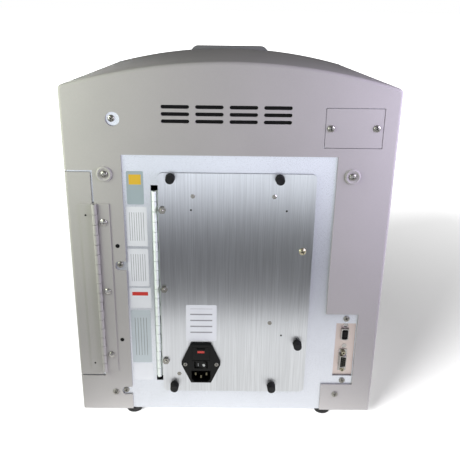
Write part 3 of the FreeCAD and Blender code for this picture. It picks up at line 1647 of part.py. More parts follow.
def power_supply():
    body = doc.addObject("PartDesign::Body", "PowerSupply")
    right = "supply_left - supply_width"
    top = "base_top + supply_tall"
    back = "supply_front + supply_depth"
    add(body, "Case", "XY", "base_top", top, rectangle((right, "supply_left"), ("supply_front", back)))
    slit = take(body, "VentSlit", "XY", f"{top} - slit_depth", f"{top} + 1", rectangle(
        (f"{right} + slit_inset", f"{right} + slit_inset + slit_width"),
        ("supply_front + slit_end", f"{back} - slit_end")))
    repeat(body, "VentSlits", slit, "X_Axis", "slit_pitch", SUPPLY_SLITS)
    return body


def controller_board():
    body = doc.addObject("PartDesign::Body", "ControllerBoard")
    left = "board_half"
    sink = "board_half - 2 * spacer_inset - heat_sink_width"
    low = "board_bottom + spacer_inset"
    add(body, "Board", "XZ", "board_face - board_thick", "board_face", rectangle(
        (f"-({left})", left), ("board_bottom", "board_top")))
    add(body, "Processor", "XZ", "board_face", "board_face + chip_height", rectangle(
        ("-chip / 2", "chip / 2"), ("board_bottom + board_tall / 2", "board_bottom + board_tall / 2 + chip")))
    add(body, "Drivers", "XZ", "board_face", "board_face + driver_height", rectangle(
        ("-chip * 2", "-chip"), (f"{low} + header_depth", f"{low} + header_depth + chip")))
    add(body, "Headers", "XZ", "board_face", "board_face + header_height", rectangle(
        (sink, f"{sink} + heat_sink_width"), (low, f"{low} + header_depth")))
    add(body, "SideHeader", "XZ", "board_face", "board_face + header_height", rectangle(
        (f"spacer_inset - {left}", f"spacer_inset - {left} + header_depth"),
        ("board_top - 4 * chip", "board_top - 2 * chip")))
    base = f"{low} + 2 * chip"
    add(body, "HeatSink", "XZ", "board_face", "board_face + heat_sink_base", rectangle(
        (sink, f"{sink} + heat_sink_width"), (base, f"{base} + heat_sink_tall")))
    fin = add(body, "Fin", "XZ", "board_face", "board_face + fin_height", rectangle(
        (f"{sink} + fin", f"{sink} + 2 * fin"), (base, f"{base} + heat_sink_tall")))
    repeat(body, "Fins", fin, "X_Axis", "fin_pitch", SINK_FINS)
    return body


def board_spacers():
    spacers = []
    side = "board_half - spacer_inset"
    count = 0
    for x in (side, f"-({side})"):
        for z in ("board_bottom + spacer_inset", "board_top - spacer_inset"):
            count += 1
            spacers.append(cylinder(f"Spacer{count}", (x, "bulkhead_face", z), "y", "spacer_radius", "spacer"))
    return group("BoardSpacers", spacers)


node("power_supply", power_supply())
node("controller_board", controller_board())
node("board_spacers", board_spacers())


# Cooling fan

def fan_frame():
    body = doc.addObject("PartDesign::Body", "FanFrame")
    back = "chassis_back - fan_depth"
    half = "fan_size / 2"
    middle = ("fan_place", "fan_height")
    add(body, "Frame", "XZ", back, "chassis_back", rounded_rectangle(
        (f"fan_place - {half}", f"fan_place + {half}"), (f"fan_height - {half}", f"fan_height + {half}"),
        "fan_corner"))
    take(body, "Bore", "XZ", f"{back} - 1", "chassis_back + 1", ["circle", *middle, "fan_bore"])
    add(body, "Motor", "XZ", back, f"{back} + fan_back", ["circle", *middle, "fan_hub"])
    add(body, "Spokes", "XZ", back, f"{back} + fan_back", rectangle(
        ("fan_place - fan_spoke / 2", "fan_place + fan_spoke / 2"),
        (f"fan_height - {half} + 1", f"fan_height + {half} - 1")))
    add(body, "CrossSpokes", "XZ", back, f"{back} + fan_back", rectangle(
        (f"fan_place - {half} + 1", f"fan_place + {half} - 1"),
        ("fan_height - fan_spoke / 2", "fan_height + fan_spoke / 2")))
    add(body, "Axle", "XZ", f"{back} + fan_back", f"{back} + fan_back + fan_axle_length",
        ["circle", *middle, "fan_axle"])
    return body


def fan_rotor():
    """A hub with twisted blades, each lofted from a steep root to a flatter tip."""
    body = doc.addObject("PartDesign::Body", "FanRotor")
    blade = body.newObject("PartDesign::AdditiveLoft", "Blade")
    blade.Profile = sketch_on(body, "BladeRoot", "YZ", "fan_hub - blade_inset", [[
        ("-(blade_root)", "blade_low"),
        ("blade_thick - blade_root", "blade_low"),
        ("blade_root", "blade_low + blade_root_rise"),
        ("blade_root - blade_thick", "blade_low + blade_root_rise"),
    ]])
    blade.Sections = [sketch_on(body, "BladeTip", "YZ", "fan_bore - blade_inset", [[
        ("-(blade_tip)", "blade_tip_low"),
        ("blade_thick - blade_tip", "blade_tip_low - blade_twist"),
        ("blade_tip", "blade_tip_low + blade_tip_rise"),
        ("blade_tip - blade_thick", "blade_tip_low + blade_tip_rise + blade_twist"),
    ]])]
    blade.Ruled = True
    around(body, "Blades", blade, FAN_BLADES)
    add(body, "Hub", "XY", "0", "rotor_tall", ["circle", "0", "0", "fan_hub"])
    take(body, "HubBore", "XY", "-1", "rotor_bore_depth", ["circle", "0", "0", "fan_axle + running"])
    return put(body, ("fan_place", "chassis_back - fan_depth + fan_back + seat_gap", "fan_height"), "y")


node("fan_frame", fan_frame())
node("fan_rotor", fan_rotor())


# Reagents

PACK_SIDES = ("reagent_wall + pack_gap", "inside - pack_gap")


def neck_depth(count):
    return f"reagent_front + neck_start + {count} * neck_pitch"


def reagent_pack():
    body = doc.addObject("PartDesign::Body", "ReagentPack")
    front = "reagent_front + pack_front"
    add(body, "Case", "XY", "bay_floor + seat_gap", "pack_top", rounded_rectangle(
        PACK_SIDES, (front, f"{front} + pack_length"), "pack_corner"))
    top = number("pack_top")
    round_edges(body, "CaseRounds", "pack_round", lambda edge: edge.BoundBox.ZMin > top - 0.01)
    for count in range(REAGENTS):
        add(body, f"Neck{count + 1}", "XY", "pack_top", "cap_bottom",
            ["circle", "pack_middle", neck_depth(count), "neck_radius"])
    return body


def bottle_caps():
    caps = []
    for count in range(REAGENTS):
        caps.append(cylinder(f"Cap{count + 1}", ("pack_middle", neck_depth(count), "cap_bottom"), "z",
                             "cap_radius", "cap_tall"))
    caps.append(cylinder("WasteCap", ("pack_middle", "flask_middle", "flask_top + flask_neck"), "z",
                         "waste_cap_radius", "cap_tall"))
    return group("BottleCaps", caps)


def waste_bottle():
    body = doc.addObject("PartDesign::Body", "WasteBottle")
    front = "reagent_front + flask_front"
    add(body, "Flask", "XY", "bay_floor + seat_gap", "flask_top", rounded_rectangle(
        PACK_SIDES, (front, f"{front} + flask_length"), "flask_corner"))
    top = number("flask_top")
    round_edges(body, "FlaskRounds", "flask_round", lambda edge: edge.BoundBox.ZMin > top - 0.01)
    add(body, "Neck", "XY", "flask_top", "flask_top + flask_neck",
        ["circle", "pack_middle", "flask_middle", "waste_neck_radius"])
    return body


node("reagent_pack", reagent_pack())
node("bottle_caps", bottle_caps())
node("waste_bottle", waste_bottle())

# Check every object and every sub-part, then write the sub-parts

doc.recompute()
for item in doc.Objects:
    if "Invalid" in item.State or "Error" in item.State:
        raise ValueError(f"{item.Name} failed: {item.State}")
os.makedirs("parts", exist_ok=True)
for name, piece in nodes.items():
    shape = piece.Shape
    if shape.isNull() or not shape.isValid() or not shape.Solids:
        raise ValueError(f"{name} has no valid solid")
    shape.exportStep(f"parts/{name}.step")
    print(f"{name}: {len(shape.Solids)} solids, {shape.Volume / 1000:.1f} cm3")
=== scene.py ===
import json
import math

import bmesh
import bpy
from mathutils import Matrix, Vector

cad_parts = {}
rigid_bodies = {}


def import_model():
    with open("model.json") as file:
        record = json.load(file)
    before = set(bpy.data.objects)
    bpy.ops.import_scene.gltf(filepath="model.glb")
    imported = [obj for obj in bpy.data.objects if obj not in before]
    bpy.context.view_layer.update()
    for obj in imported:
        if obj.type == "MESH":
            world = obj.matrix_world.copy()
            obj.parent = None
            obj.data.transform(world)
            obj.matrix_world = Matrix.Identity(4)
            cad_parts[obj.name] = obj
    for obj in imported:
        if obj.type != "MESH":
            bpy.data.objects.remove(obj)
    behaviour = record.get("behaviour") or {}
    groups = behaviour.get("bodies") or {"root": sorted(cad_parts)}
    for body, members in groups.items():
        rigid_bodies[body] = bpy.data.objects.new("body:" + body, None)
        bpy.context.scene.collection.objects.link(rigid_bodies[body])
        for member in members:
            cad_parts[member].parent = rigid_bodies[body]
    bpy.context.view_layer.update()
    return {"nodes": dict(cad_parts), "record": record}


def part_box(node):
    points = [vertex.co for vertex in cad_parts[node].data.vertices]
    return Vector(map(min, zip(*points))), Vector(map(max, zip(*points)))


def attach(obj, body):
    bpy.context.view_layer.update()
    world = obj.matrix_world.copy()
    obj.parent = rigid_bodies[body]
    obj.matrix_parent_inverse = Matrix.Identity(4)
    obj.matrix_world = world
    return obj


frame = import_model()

bl_info = {
    "name": "Cell Viability Analyzer",
    "version": (1, 0, 0),
    "blender": (4, 5, 0),
    "location": "View3D > Sidebar > Analyzer",
    "description": "Dresses the bench analyzer: finishes, small fasteners, labels and a studio",
    "category": "Object",
}

MM = 0.001


def tone(red, green, blue):
    """A colour as the eye reads it, 0 to 255, turned into the linear light that shaders use."""
    return tuple(((v / 255 + 0.055) / 1.055) ** 2.4 if v > 10 else v / 255 / 12.92
                 for v in (red, green, blue))


def face_of(node):
    """The depth of a node's face that looks to the back."""
    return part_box(node)[1].y


def mm(*corners):
    """Corners given in millimetres, in metres."""
    return [tuple(v * MM for v in corner) for corner in corners]


def at(depth, *spots):
    """Places at one depth from their sideways place and height."""
    return [(x, depth, z) for x, z in spots]


# Settings that a user would change


def colour(label, note, value):
    return bpy.props.FloatVectorProperty(
        name=label, description=note, subtype="COLOR", size=3, min=0, max=1, default=value)


def length(label, note, value):
    return bpy.props.FloatProperty(
        name=label, description=note, unit="LENGTH", subtype="DISTANCE", min=0, precision=4,
        default=value)


def amount(label, note, value):
    return bpy.props.FloatProperty(name=label, description=note, min=0, default=value)


class AnalyzerColours(bpy.types.PropertyGroup):
    paint: colour("Paint", "Textured paint on the cover and reagent door", tone(178, 175, 174))
    fascia: colour("Fascia", "Moulded front panel", tone(150, 151, 152))
    bare: colour("Bare plate", "Pale satin chassis plate", tone(230, 234, 242))
    brushed: colour("Brushed plate", "Service door, with upright grain", tone(226, 229, 234))
    bracket: colour("Connector bracket", "Recessed plate behind the ports", tone(226, 212, 208))
    steel: colour("Steel", "Nuts, pins and hinges", tone(190, 188, 186))
    screws: colour("Screw steel", "Cross-recess screws", tone(168, 166, 160))
    brass: colour("Passivated brass", "Lock screw and jack screws", tone(190, 183, 158))
    black: colour("Black plastic", "Power inlet, motors and fan", tone(13, 14, 14))
    rubber: colour("Rubber", "Feet and bumpers", tone(32, 32, 33))
    label: colour("Label stock", "Plain stickers", tone(234, 236, 242))
    ink: colour("Label rules", "Ruled lines on the stickers", tone(120, 120, 122))
    amber: colour("Amber tab", "Colour tab on the top sticker", tone(228, 186, 60))
    red: colour("Red tab", "Fuse window and one sticker's tab", tone(205, 60, 52))


class AnalyzerSizes(bpy.types.PropertyGroup):
    pan_radius: length("Pan head radius", "Round heads on the panels", 3.9 * MM)
    pan_height: length("Pan head height", "How far a round head stands up", 2.0 * MM)
    recess: length("Cross recess", "Width of a recess's arms", 0.9 * MM)
    flush_radius: length("Flush stud radius", "Studs pressed into the service door", 2.9 * MM)
    # The pin holes and sockets are flat dark discs: painted shade in place of hollows.
    small_hole: length("Small hole radius", "Pin holes in the door and hinge leaf", 1.2 * MM)
    socket_radius: length("Dark socket radius", "Dark sockets in the painted panel", 2.6 * MM)
    label_thickness: length("Label thickness", "Thickness of a sticker", 0.12 * MM)
    number_height: length("Number height", "Position numbers on the carousel", 7 * MM)


class AnalyzerStage(bpy.types.PropertyGroup):
    focal: amount("Focal length", "Camera lens in millimetres on a 36 mm sensor", 46.96)
    camera_side: length("Camera side", "Sideways place of the camera", 5.5 * MM)
    camera_back: length(
        "Camera distance", "How far the camera stands behind the painted back", 667.2 * MM)
    camera_height: length("Camera height", "Height of the camera over the bench", 511.6 * MM)
    pitch: amount("Pitch", "Degrees that the camera looks down", 20.44)
    yaw: bpy.props.FloatProperty(
        name="Yaw", description="Degrees that the camera turns aside", default=-0.58)
    roll: bpy.props.FloatProperty(
        name="Roll", description="Degrees that the camera leans", default=0.82)
    key: amount("Left lamp", "Watts of the soft lamp at the picture's left", 1.95)
    fill: amount("Right lamp", "Watts of the soft lamp at the picture's right", 2.4)
    glint: amount("Glints", "Watts of the two lamps that light only the bright metal", 3)
    front: amount("Front lamp", "Watts of the soft lamp that lights the front", 26)
    sun: amount("Floor lamp", "Strength of the wide lamp that draws the shadow on the floor", 6)
    sky: amount("Sky", "Strength of the even light all round", 0.2)
    near_glow: amount("Floor glow", "How white the shaded floor looks beside the analyzer", 0.32)
    mirrored: amount("Mirrored floor", "How white the near floor looks in bright metal", 0.86)
    bounce: amount("Floor bounce", "How much light the near floor throws up", 2.9)
    floor_reach: length("Floor reach", "Half the floor's width", 60)
    card_gap: length(
        "Card gap", "From the painted back to the dark card that the brushed plate mirrors", 0.27)
    card_depth: length("Card depth", "Depth of the dark card", 0.655)


# Finishes


class Finish:
    """A material whose nodes are added one after another."""

    def __init__(self, name, **sockets):
        self.material = bpy.data.materials.new(name)
        self.material.use_nodes = True
        self.tree = self.material.node_tree
        self.shader = next(n for n in self.tree.nodes if n.type == "BSDF_PRINCIPLED")
        for socket, value in sockets.items():
            self.set(socket.replace("_", " ").capitalize().replace("Ior", "IOR"), value)
        self.place = self.add("ShaderNodeTexCoord").outputs["Object"]

    def set(self, socket, value):
        target = next(s for s in self.shader.inputs if s.name.lower() == socket.lower())
        if isinstance(value, bpy.types.NodeSocket):
            self.tree.links.new(value, target)
        elif target.type == "RGBA" and len(value) == 3:
            target.default_value = (*value, 1)
        else:
            target.default_value = value

    def add(self, kind, inputs=None, **settings):
        node = self.tree.nodes.new(kind)
        for name, value in settings.items():
            setattr(node, name, value)
        for socket, value in (inputs or {}).items():
            target = node.inputs[socket]
            if isinstance(value, bpy.types.NodeSocket):
                self.tree.links.new(value, target)
            elif target.type == "RGBA" and len(value) == 3:
                target.default_value = (*value, 1)
            else:
                target.default_value = value
        return node

    def noise(self, scale, detail, stretch=(1, 1, 1)):
        moved = self.add("ShaderNodeMapping", {"Vector": self.place, "Scale": stretch})
        return self.add("ShaderNodeTexNoise", {
            "Vector": moved.outputs[0], "Scale": scale, "Detail": detail}).outputs["Fac"]

    def math(self, operation, first, second=0.0):
        return self.add("ShaderNodeMath", {0: first, 1: second}, operation=operation).outputs[0]

    def between(self, value, low, high, to_low=0.0, to_high=1.0):
        return self.add("ShaderNodeMapRange", {
            "Value": value, "From Min": low, "From Max": high, "To Min": to_low, "To Max": to_high,
        }).outputs[0]

    def mix(self, share, first, second):
        node = self.add("ShaderNodeMix", data_type="RGBA")
        for index, value in ((0, share), (6, first), (7, second)):
            if isinstance(value, bpy.types.NodeSocket):
                self.tree.links.new(value, node.inputs[index])
            else:
                node.inputs[index].default_value = value if index == 0 else (*value, 1)
        return node.outputs[2]

    def bump(self, height, distance, strength=1.0):
        self.set("Normal", self.add("ShaderNodeBump", {
            "Height": height, "Distance": distance, "Strength": strength}).outputs[0])

    def blend(self, first, second, share):
        """Two values added, the first by its share and the second by the rest."""
        return self.math(
            "ADD", self.math("MULTIPLY", first, share), self.math("MULTIPLY", second, 1 - share))

    def within(self, value, low, high):
        """1 where a value lies between two others, and 0 elsewhere."""
        return self.math(
            "MULTIPLY", self.math("GREATER_THAN", value, low), self.math("LESS_THAN", value, high))

    def shift_colour(self, value, low, high, first, second):
        """Carry the base colour from first to second as a value goes from low to high."""
        self.set("Base Color", self.mix(self.between(value, low, high), first, second))


def shade(value, share):
    return tuple(max(0.0, min(1.0, v * share)) for v in value)


def textured_paint(name, base):
    """Powder paint: a fine orange peel, soft mottling and a satin sheen."""
    finish = Finish(name, specular_ior_level=0.42)
    mottle = finish.noise(14, 3)
    fine = finish.noise(900, 2)
    peel = finish.noise(2600, 2)
    share = finish.blend(mottle, fine, 0.6)
    finish.shift_colour(share, 0.3, 0.7, shade(base, 0.95), shade(base, 1.04))
    finish.set("Roughness", finish.between(fine, 0.3, 0.7, 0.42, 0.56))
    finish.bump(finish.math("ADD", peel, finish.math("MULTIPLY", fine, 0.7)), 0.00006, 0.55)
    return finish.material


def satin_metal(name, base, roughness=0.38, grain=0.4, metallic=1.0):
    """Plain sheet with a fine tooth and a soft gloss."""
    finish = Finish(name, metallic=metallic)
    cloud = finish.noise(9, 3)
    tooth = finish.noise(2400, 2)
    finish.shift_colour(cloud, 0.3, 0.7, shade(base, 0.94), shade(base, 1.03))
    finish.set("Roughness", finish.between(tooth, 0.3, 0.7, roughness - 0.04, roughness + 0.05))
    finish.bump(tooth, 0.000004, grain)
    return finish.material


def brushed_metal(name, base):
    """Upright brushing: long fine scratches that spread the shine sideways."""
    finish = Finish(name, metallic=1.0, anisotropic=0.75)
    fine = finish.noise(2600, 2, (1, 1, 0.008))
    broad = finish.noise(620, 3, (1, 1, 0.012))
    cloud = finish.noise(110, 2, (1, 1, 0.03))
    streaks = finish.blend(fine, broad, 0.6)
    worn = finish.mix(finish.between(streaks, 0.4, 0.6), shade(base, 0.84), shade(base, 1.05))
    clouded = finish.between(cloud, 0.35, 0.65, 0.0, 0.45)
    finish.set("Base Color", finish.mix(clouded, worn, shade(base, 0.86)))
    finish.set("Roughness", finish.between(streaks, 0.3, 0.7, 0.3, 0.36))
    around = finish.add("ShaderNodeTangent", direction_type="RADIAL", axis="Z").outputs[0]
    finish.set("Tangent", around)
    finish.bump(streaks, 0.00001, 0.5)
    return finish.material


def moulded_plastic(name, base, roughness=0.45, texture=0.00004, specular=0.45):
    """Moulded plastic with a spark-eroded texture."""
    finish = Finish(name, specular_ior_level=specular)
    cloud = finish.noise(30, 2)
    grain = finish.noise(2200, 3)
    finish.shift_colour(cloud, 0.3, 0.7, shade(base, 0.98), shade(base, 1.02))
    finish.set("Roughness", finish.between(grain, 0.3, 0.7, roughness - 0.05, roughness + 0.08))
    finish.bump(grain, texture, 0.6)
    return finish.material


def soft_rubber(name, base):
    finish = Finish(name, specular_ior_level=0.3)
    dust = finish.noise(160, 4)
    pores = finish.noise(1800, 2)
    finish.shift_colour(dust, 0.45, 0.75, base, shade(base, 2.2))
    finish.set("Roughness", finish.between(dust, 0.3, 0.7, 0.62, 0.8))
    finish.bump(pores, 0.00005, 0.5)
    return finish.material


def bright_metal(name, base, roughness=0.26):
    """Turned and plated steel or brass, with small tool marks."""
    finish = Finish(name, metallic=1.0)
    marks = finish.noise(700, 3)
    stain = finish.noise(90, 2)
    finish.shift_colour(stain, 0.35, 0.7, base, shade(base, 0.84))
    finish.set("Roughness", finish.between(marks, 0.3, 0.7, roughness - 0.06, roughness + 0.12))
    finish.bump(marks, 0.000004, 0.4)
    return finish.material


def clear_glass(name, base):
    finish = Finish(name, transmission_weight=0.9, ior=1.47)
    smear = finish.noise(60, 2)
    finish.shift_colour(smear, 0.3, 0.7, base, shade(base, 0.96))
    finish.set("Roughness", finish.between(smear, 0.3, 0.8, 0.02, 0.1))
    return finish.material


def circuit_board(name):
    """Green solder mask with pale tracks and rows of pads."""
    finish = Finish(name, specular_ior_level=0.5)
    tracks = finish.add("ShaderNodeTexBrick", {
        "Vector": finish.add("ShaderNodeMapping", {
            "Vector": finish.place, "Rotation": (math.radians(90), 0, 0)}).outputs[0],
        "Scale": 60.0, "Mortar Size": 0.05, "Color1": tone(20, 92, 52),
        "Color2": tone(16, 80, 46), "Mortar": tone(70, 140, 92)})
    finish.set("Base Color", tracks.outputs["Color"])
    finish.set("Roughness", finish.between(finish.noise(400, 2), 0.3, 0.7, 0.28, 0.42))
    finish.bump(tracks.outputs["Fac"], 0.00005, 0.4)
    return finish.material


def carton(name, base):
    """Coated board with a faint tooth."""
    finish = Finish(name, specular_ior_level=0.35)
    tooth = finish.noise(600, 3)
    cloud = finish.noise(12, 2)
    finish.shift_colour(cloud, 0.3, 0.7, shade(base, 0.96), base)
    finish.set("Roughness", finish.between(tooth, 0.3, 0.7, 0.5, 0.65))
    finish.bump(tooth, 0.00004, 0.4)
    return finish.material


def ruled_label(name, base, ink, rows, tab=None, tab_low=0.0, tab_high=0.0):
    """A plain sticker: ruled lines between margins, and a colour tab if it has one."""
    finish = Finish(name, specular_ior_level=0.4, roughness=0.42)
    spot = finish.add("ShaderNodeUVMap", uv_map="Sticker").outputs[0]
    parts = finish.add("ShaderNodeSeparateXYZ", {0: spot})
    across, up = parts.outputs["X"], parts.outputs["Y"]
    line = finish.math("FRACT", finish.math("MULTIPLY", up, rows))
    ruled = finish.within(line, 0.36, 0.56)
    inside = finish.within(across, 0.14, 0.86)
    body = finish.within(up, 0.1, 0.9)
    share = finish.math("MULTIPLY", finish.math("MULTIPLY", ruled, inside), body)
    faded = finish.math("MULTIPLY", share, 0.8 if rows else 0.0)
    aged = finish.mix(finish.between(finish.noise(40, 2), 0.35, 0.7), base, shade(base, 0.95))
    sheet = finish.mix(faded, aged, ink)
    if tab:
        patch = finish.within(up, tab_low, tab_high)
        sheet = finish.mix(finish.math("MULTIPLY", patch, inside), sheet, tab)
    finish.set("Base Color", sheet)
    return finish.material


def all_finishes(colours):
    """Every finish by the name of the record's slot that it stands for."""
    paint = textured_paint("Textured_paint", colours.paint)
    return {
        "painted_cover": paint,
        "fascia_plastic": moulded_plastic("Fascia_moulding", colours.fascia, 0.46),
        "bare_plate": satin_metal("Bare_plate", colours.bare, 0.3, 0.4, 0.65),
        "brushed_plate": brushed_metal("Brushed_plate", colours.brushed),
        "inner_steel": satin_metal("Inner_sheet", shade(colours.bare, 0.8), 0.45),
        "bright_steel": bright_metal("Plated_steel", colours.steel),
        "bracket_plate": satin_metal("Bracket_plate", colours.bracket, 0.42),
        "black_rubber": soft_rubber("Black_rubber", colours.rubber),
        # A foam filter behind the vents; its near-black colour is also painted shade for the dark
        # inside behind the slots.
        "black_foam": soft_rubber("Filter_foam", tone(14, 14, 15)),
        "black_plastic": moulded_plastic("Black_moulding", colours.black, 0.45, specular=0.25),
        "dark_liner": moulded_plastic("Bay_liner", tone(74, 77, 80), 0.5),
        "pale_plastic": moulded_plastic("Pale_moulding", tone(222, 222, 218), 0.4),
        "brass_plate": bright_metal("Passivated_brass", colours.brass, 0.3),
        "clear_glass": clear_glass("Clear_glass", (0.93, 0.96, 0.97)),
        "status_green": moulded_plastic("Status_lens", tone(120, 190, 140), 0.2, 0.00001),
        "board_green": circuit_board("Circuit_board"),
        "pump_metal": satin_metal("Cast_pump_metal", tone(170, 172, 175), 0.42),
        "carton": carton("Reagent_carton", tone(232, 234, 232)),
        "blue_cap": moulded_plastic("Blue_cap", tone(46, 92, 160), 0.34),
        "magnet": moulded_plastic("Magnet", tone(62, 60, 58), 0.5),
        "white_flask": moulded_plastic("White_flask", tone(232, 231, 224), 0.35),
        "screw_steel": bright_metal("Screw_steel", colours.screws, 0.3),
        "hinge_metal": satin_metal("Hinge_metal", tone(232, 238, 236), 0.48, 0.2, 0.6),
        "contact_metal": bright_metal("Contact_metal", tone(118, 114, 96), 0.4),
        # Painted shade: the near-black finish of the discs and crosses that stand for the shade in
        # holes, sockets, bores and screw recesses.
        "dark_recess": soft_rubber("Dark_recess", tone(12, 12, 13)),
        "red_pane": moulded_plastic("Red_pane", colours.red, 0.25, 0.00001),
        "white_mark": moulded_plastic("White_mark", tone(176, 178, 180), 0.5, 0.00001),
        "number_ink": moulded_plastic("Number_ink", tone(58, 62, 70), 0.5, 0.00001),
        "grey_label": ruled_label(
            "Grey_label", tone(168, 182, 188), colours.ink, 0, colours.amber, 0.6, 0.9),
        "text_label": ruled_label("Ruled_label", colours.label, colours.ink, 9),
        "close_label": ruled_label("Close_ruled_label", tone(196, 205, 210), colours.ink, 7),
        "band_label": ruled_label(
            "Banded_label", colours.label, colours.ink, 0, colours.red, 0.62, 0.8),
        "plain_label": ruled_label("Plain_label", colours.label, colours.ink, 0),
        "fuse_label": ruled_label("Fuse_label", shade(colours.label, 1.05), colours.ink, 6),
    }


# Mesh making


def new_piece(name, mesh, material, body):
    """Put a finished mesh in the scene and hand it to the frame."""
    piece = bpy.data.objects.new(name, mesh)
    bpy.context.scene.collection.objects.link(piece)
    mesh.materials.clear()
    mesh.materials.append(material)
    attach(piece, body)


def to_mesh(shape, name, smooth=None):
    """Write a bmesh out; smooth is the angle in degrees under which edges are shaded smooth."""
    bmesh.ops.recalc_face_normals(shape, faces=shape.faces)
    mesh = bpy.data.meshes.new(name)
    shape.to_mesh(mesh)
    shape.free()
    if smooth:
        mesh.shade_smooth()
        mesh.set_sharp_from_angle(angle=math.radians(smooth))
    return mesh


def turned(profile, segments=28):
    """A closed shape turned about Y from (radius, depth) corners; it stands out towards +Y."""
    shape = bmesh.new()
    rings = []
    for radius, depth in profile:
        if radius < 1e-9:
            rings.append([shape.verts.new((0, depth, 0))])
            continue
        rings.append([shape.verts.new((radius * math.cos(turn), depth, radius * math.sin(turn)))
                      for turn in (2 * math.pi * step / segments for step in range(segments))])
    for low, high in zip(rings, rings[1:]):
        for step in range(segments):
            after = (step + 1) % segments
            corners = [low[step % len(low)], low[after % len(low)],
                       high[after % len(high)], high[step % len(high)]]
            corners = [c for index, c in enumerate(corners) if c not in corners[:index]]
            if len(corners) > 2:
                shape.faces.new(corners)
    for ring in (rings[0], rings[-1]):
        if len(ring) > 2:
            shape.faces.new(ring)
    return shape


def prism(outline, near, far):
    """A closed outline of (x, z) corners carried from one depth to another."""
    shape = bmesh.new()
    rings = [[shape.verts.new((x, depth, z)) for x, z in outline] for depth in (near, far)]
    shape.faces.new(rings[0])
    shape.faces.new(reversed(rings[1]))
    for step in range(len(outline)):
        after = (step + 1) % len(outline)
        shape.faces.new((rings[0][step], rings[0][after], rings[1][after], rings[1][step]))
    return shape


def slab(x, y, z, corner=0.0, steps=5):
    """An upright slab between two depths, with rounded corners."""
    outline = []
    for side_x, side_z, start in ((1, -1, -90), (1, 1, 0), (-1, 1, 90), (-1, -1, 180)):
        centre = ((x[1] if side_x > 0 else x[0]) - side_x * corner,
                  (z[1] if side_z > 0 else z[0]) - side_z * corner)
        for step in range(steps + 1 if corner else 1):
            turn = math.radians(start + 90 * step / steps)
            outline.append((centre[0] + corner * math.cos(turn),
                            centre[1] + corner * math.sin(turn)))
    return prism(outline, *y)


def disc(radius, low, high, inner=0):
    """Corners of a disc between two depths; its end caps start at the inner radius."""
    return [(inner, low), (radius, low), (radius, high), (inner, high)]


def evaluated(thing):
    """A plain mesh of an object as its modifiers leave it."""
    graph = bpy.context.evaluated_depsgraph_get()
    return bpy.data.meshes.new_from_object(thing.evaluated_get(graph))


def carved(base, cutter, name):
    """The first mesh less the second."""
    solid = bpy.data.objects.new(name + "_solid", base)
    tool = bpy.data.objects.new(name + "_tool", cutter)
    for item in (solid, tool):
        bpy.context.scene.collection.objects.link(item)
    cut = solid.modifiers.new("Recess", "BOOLEAN")
    cut.operation = "DIFFERENCE"
    cut.object = tool
    cut.solver = "EXACT"
    mesh = evaluated(solid)
    for item in (solid, tool):
        bpy.data.objects.remove(item)
    mesh.name = name
    return mesh


def cross_screw(name, radius, height, arm):
    """A pan head with a cross recess, seated at depth 0, and a dark cross of painted shade for the
    bottom of the recess.
    """
    sunk, edge = -0.3 * MM, 0.45
    dome = [(0, sunk), (radius, sunk), (radius, height * edge)]
    dome += [(radius * math.cos(turn), height * (edge + (1 - edge) * math.sin(turn)))
             for turn in (math.radians(18 * step) for step in range(1, 5))]
    dome.append((0, height))
    head = to_mesh(turned(dome), name + "_head")
    reach, half = radius * 0.6, arm / 2
    quarter = ((reach, -half), (reach, half), (half, half))
    cross = [(x * c - z * s, x * s + z * c)
             for c, s in ((1, 0), (0, 1), (-1, 0), (0, -1)) for x, z in quarter]
    mesh = carved(head, to_mesh(prism(cross, height * 0.4, height * 1.5), name + "_recess"), name)
    mesh.shade_smooth()
    mesh.set_sharp_from_angle(angle=math.radians(35))
    # The second mesh is painted shade: a dark cross that fills the bottom of the recess.
    return mesh, to_mesh(prism(cross, height * 0.3, height * 0.5), name + "_floor")


def placing_tree():
    """Geometry Nodes that set a fastener on each point, turned at random about its own axis."""
    tree = bpy.data.node_groups.new("Fasteners_on_points", "GeometryNodeTree")
    tree.interface.new_socket("Points", in_out="INPUT", socket_type="NodeSocketGeometry")
    for name, kind in (("Fastener", "NodeSocketObject"), ("Finish", "NodeSocketMaterial"),
                       ("Largest turn", "NodeSocketFloat")):
        tree.interface.new_socket(name, in_out="INPUT", socket_type=kind)
    tree.interface.new_socket("Fasteners", in_out="OUTPUT", socket_type="NodeSocketGeometry")
    nodes, link = tree.nodes, tree.links.new
    start, end = nodes.new("NodeGroupInput"), nodes.new("NodeGroupOutput")
    shape = nodes.new("GeometryNodeObjectInfo")
    chance = nodes.new("FunctionNodeRandomValue")
    chance.data_type = "FLOAT"
    chance.inputs["Seed"].default_value = 7
    turn = nodes.new("ShaderNodeCombineXYZ")
    place = nodes.new("GeometryNodeInstanceOnPoints")
    real = nodes.new("GeometryNodeRealizeInstances")
    dress = nodes.new("GeometryNodeSetMaterial")
    link(start.outputs["Fastener"], shape.inputs["Object"])
    link(start.outputs["Largest turn"], chance.inputs[3])
    link(chance.outputs[1], turn.inputs["Y"])
    link(start.outputs["Points"], place.inputs["Points"])
    link(shape.outputs["Geometry"], place.inputs["Instance"])
    link(turn.outputs[0], place.inputs["Rotation"])
    link(place.outputs[0], real.inputs[0])
    link(real.outputs[0], dress.inputs["Geometry"])
    link(start.outputs["Finish"], dress.inputs["Material"])
    link(dress.outputs[0], end.inputs[0])
    return tree


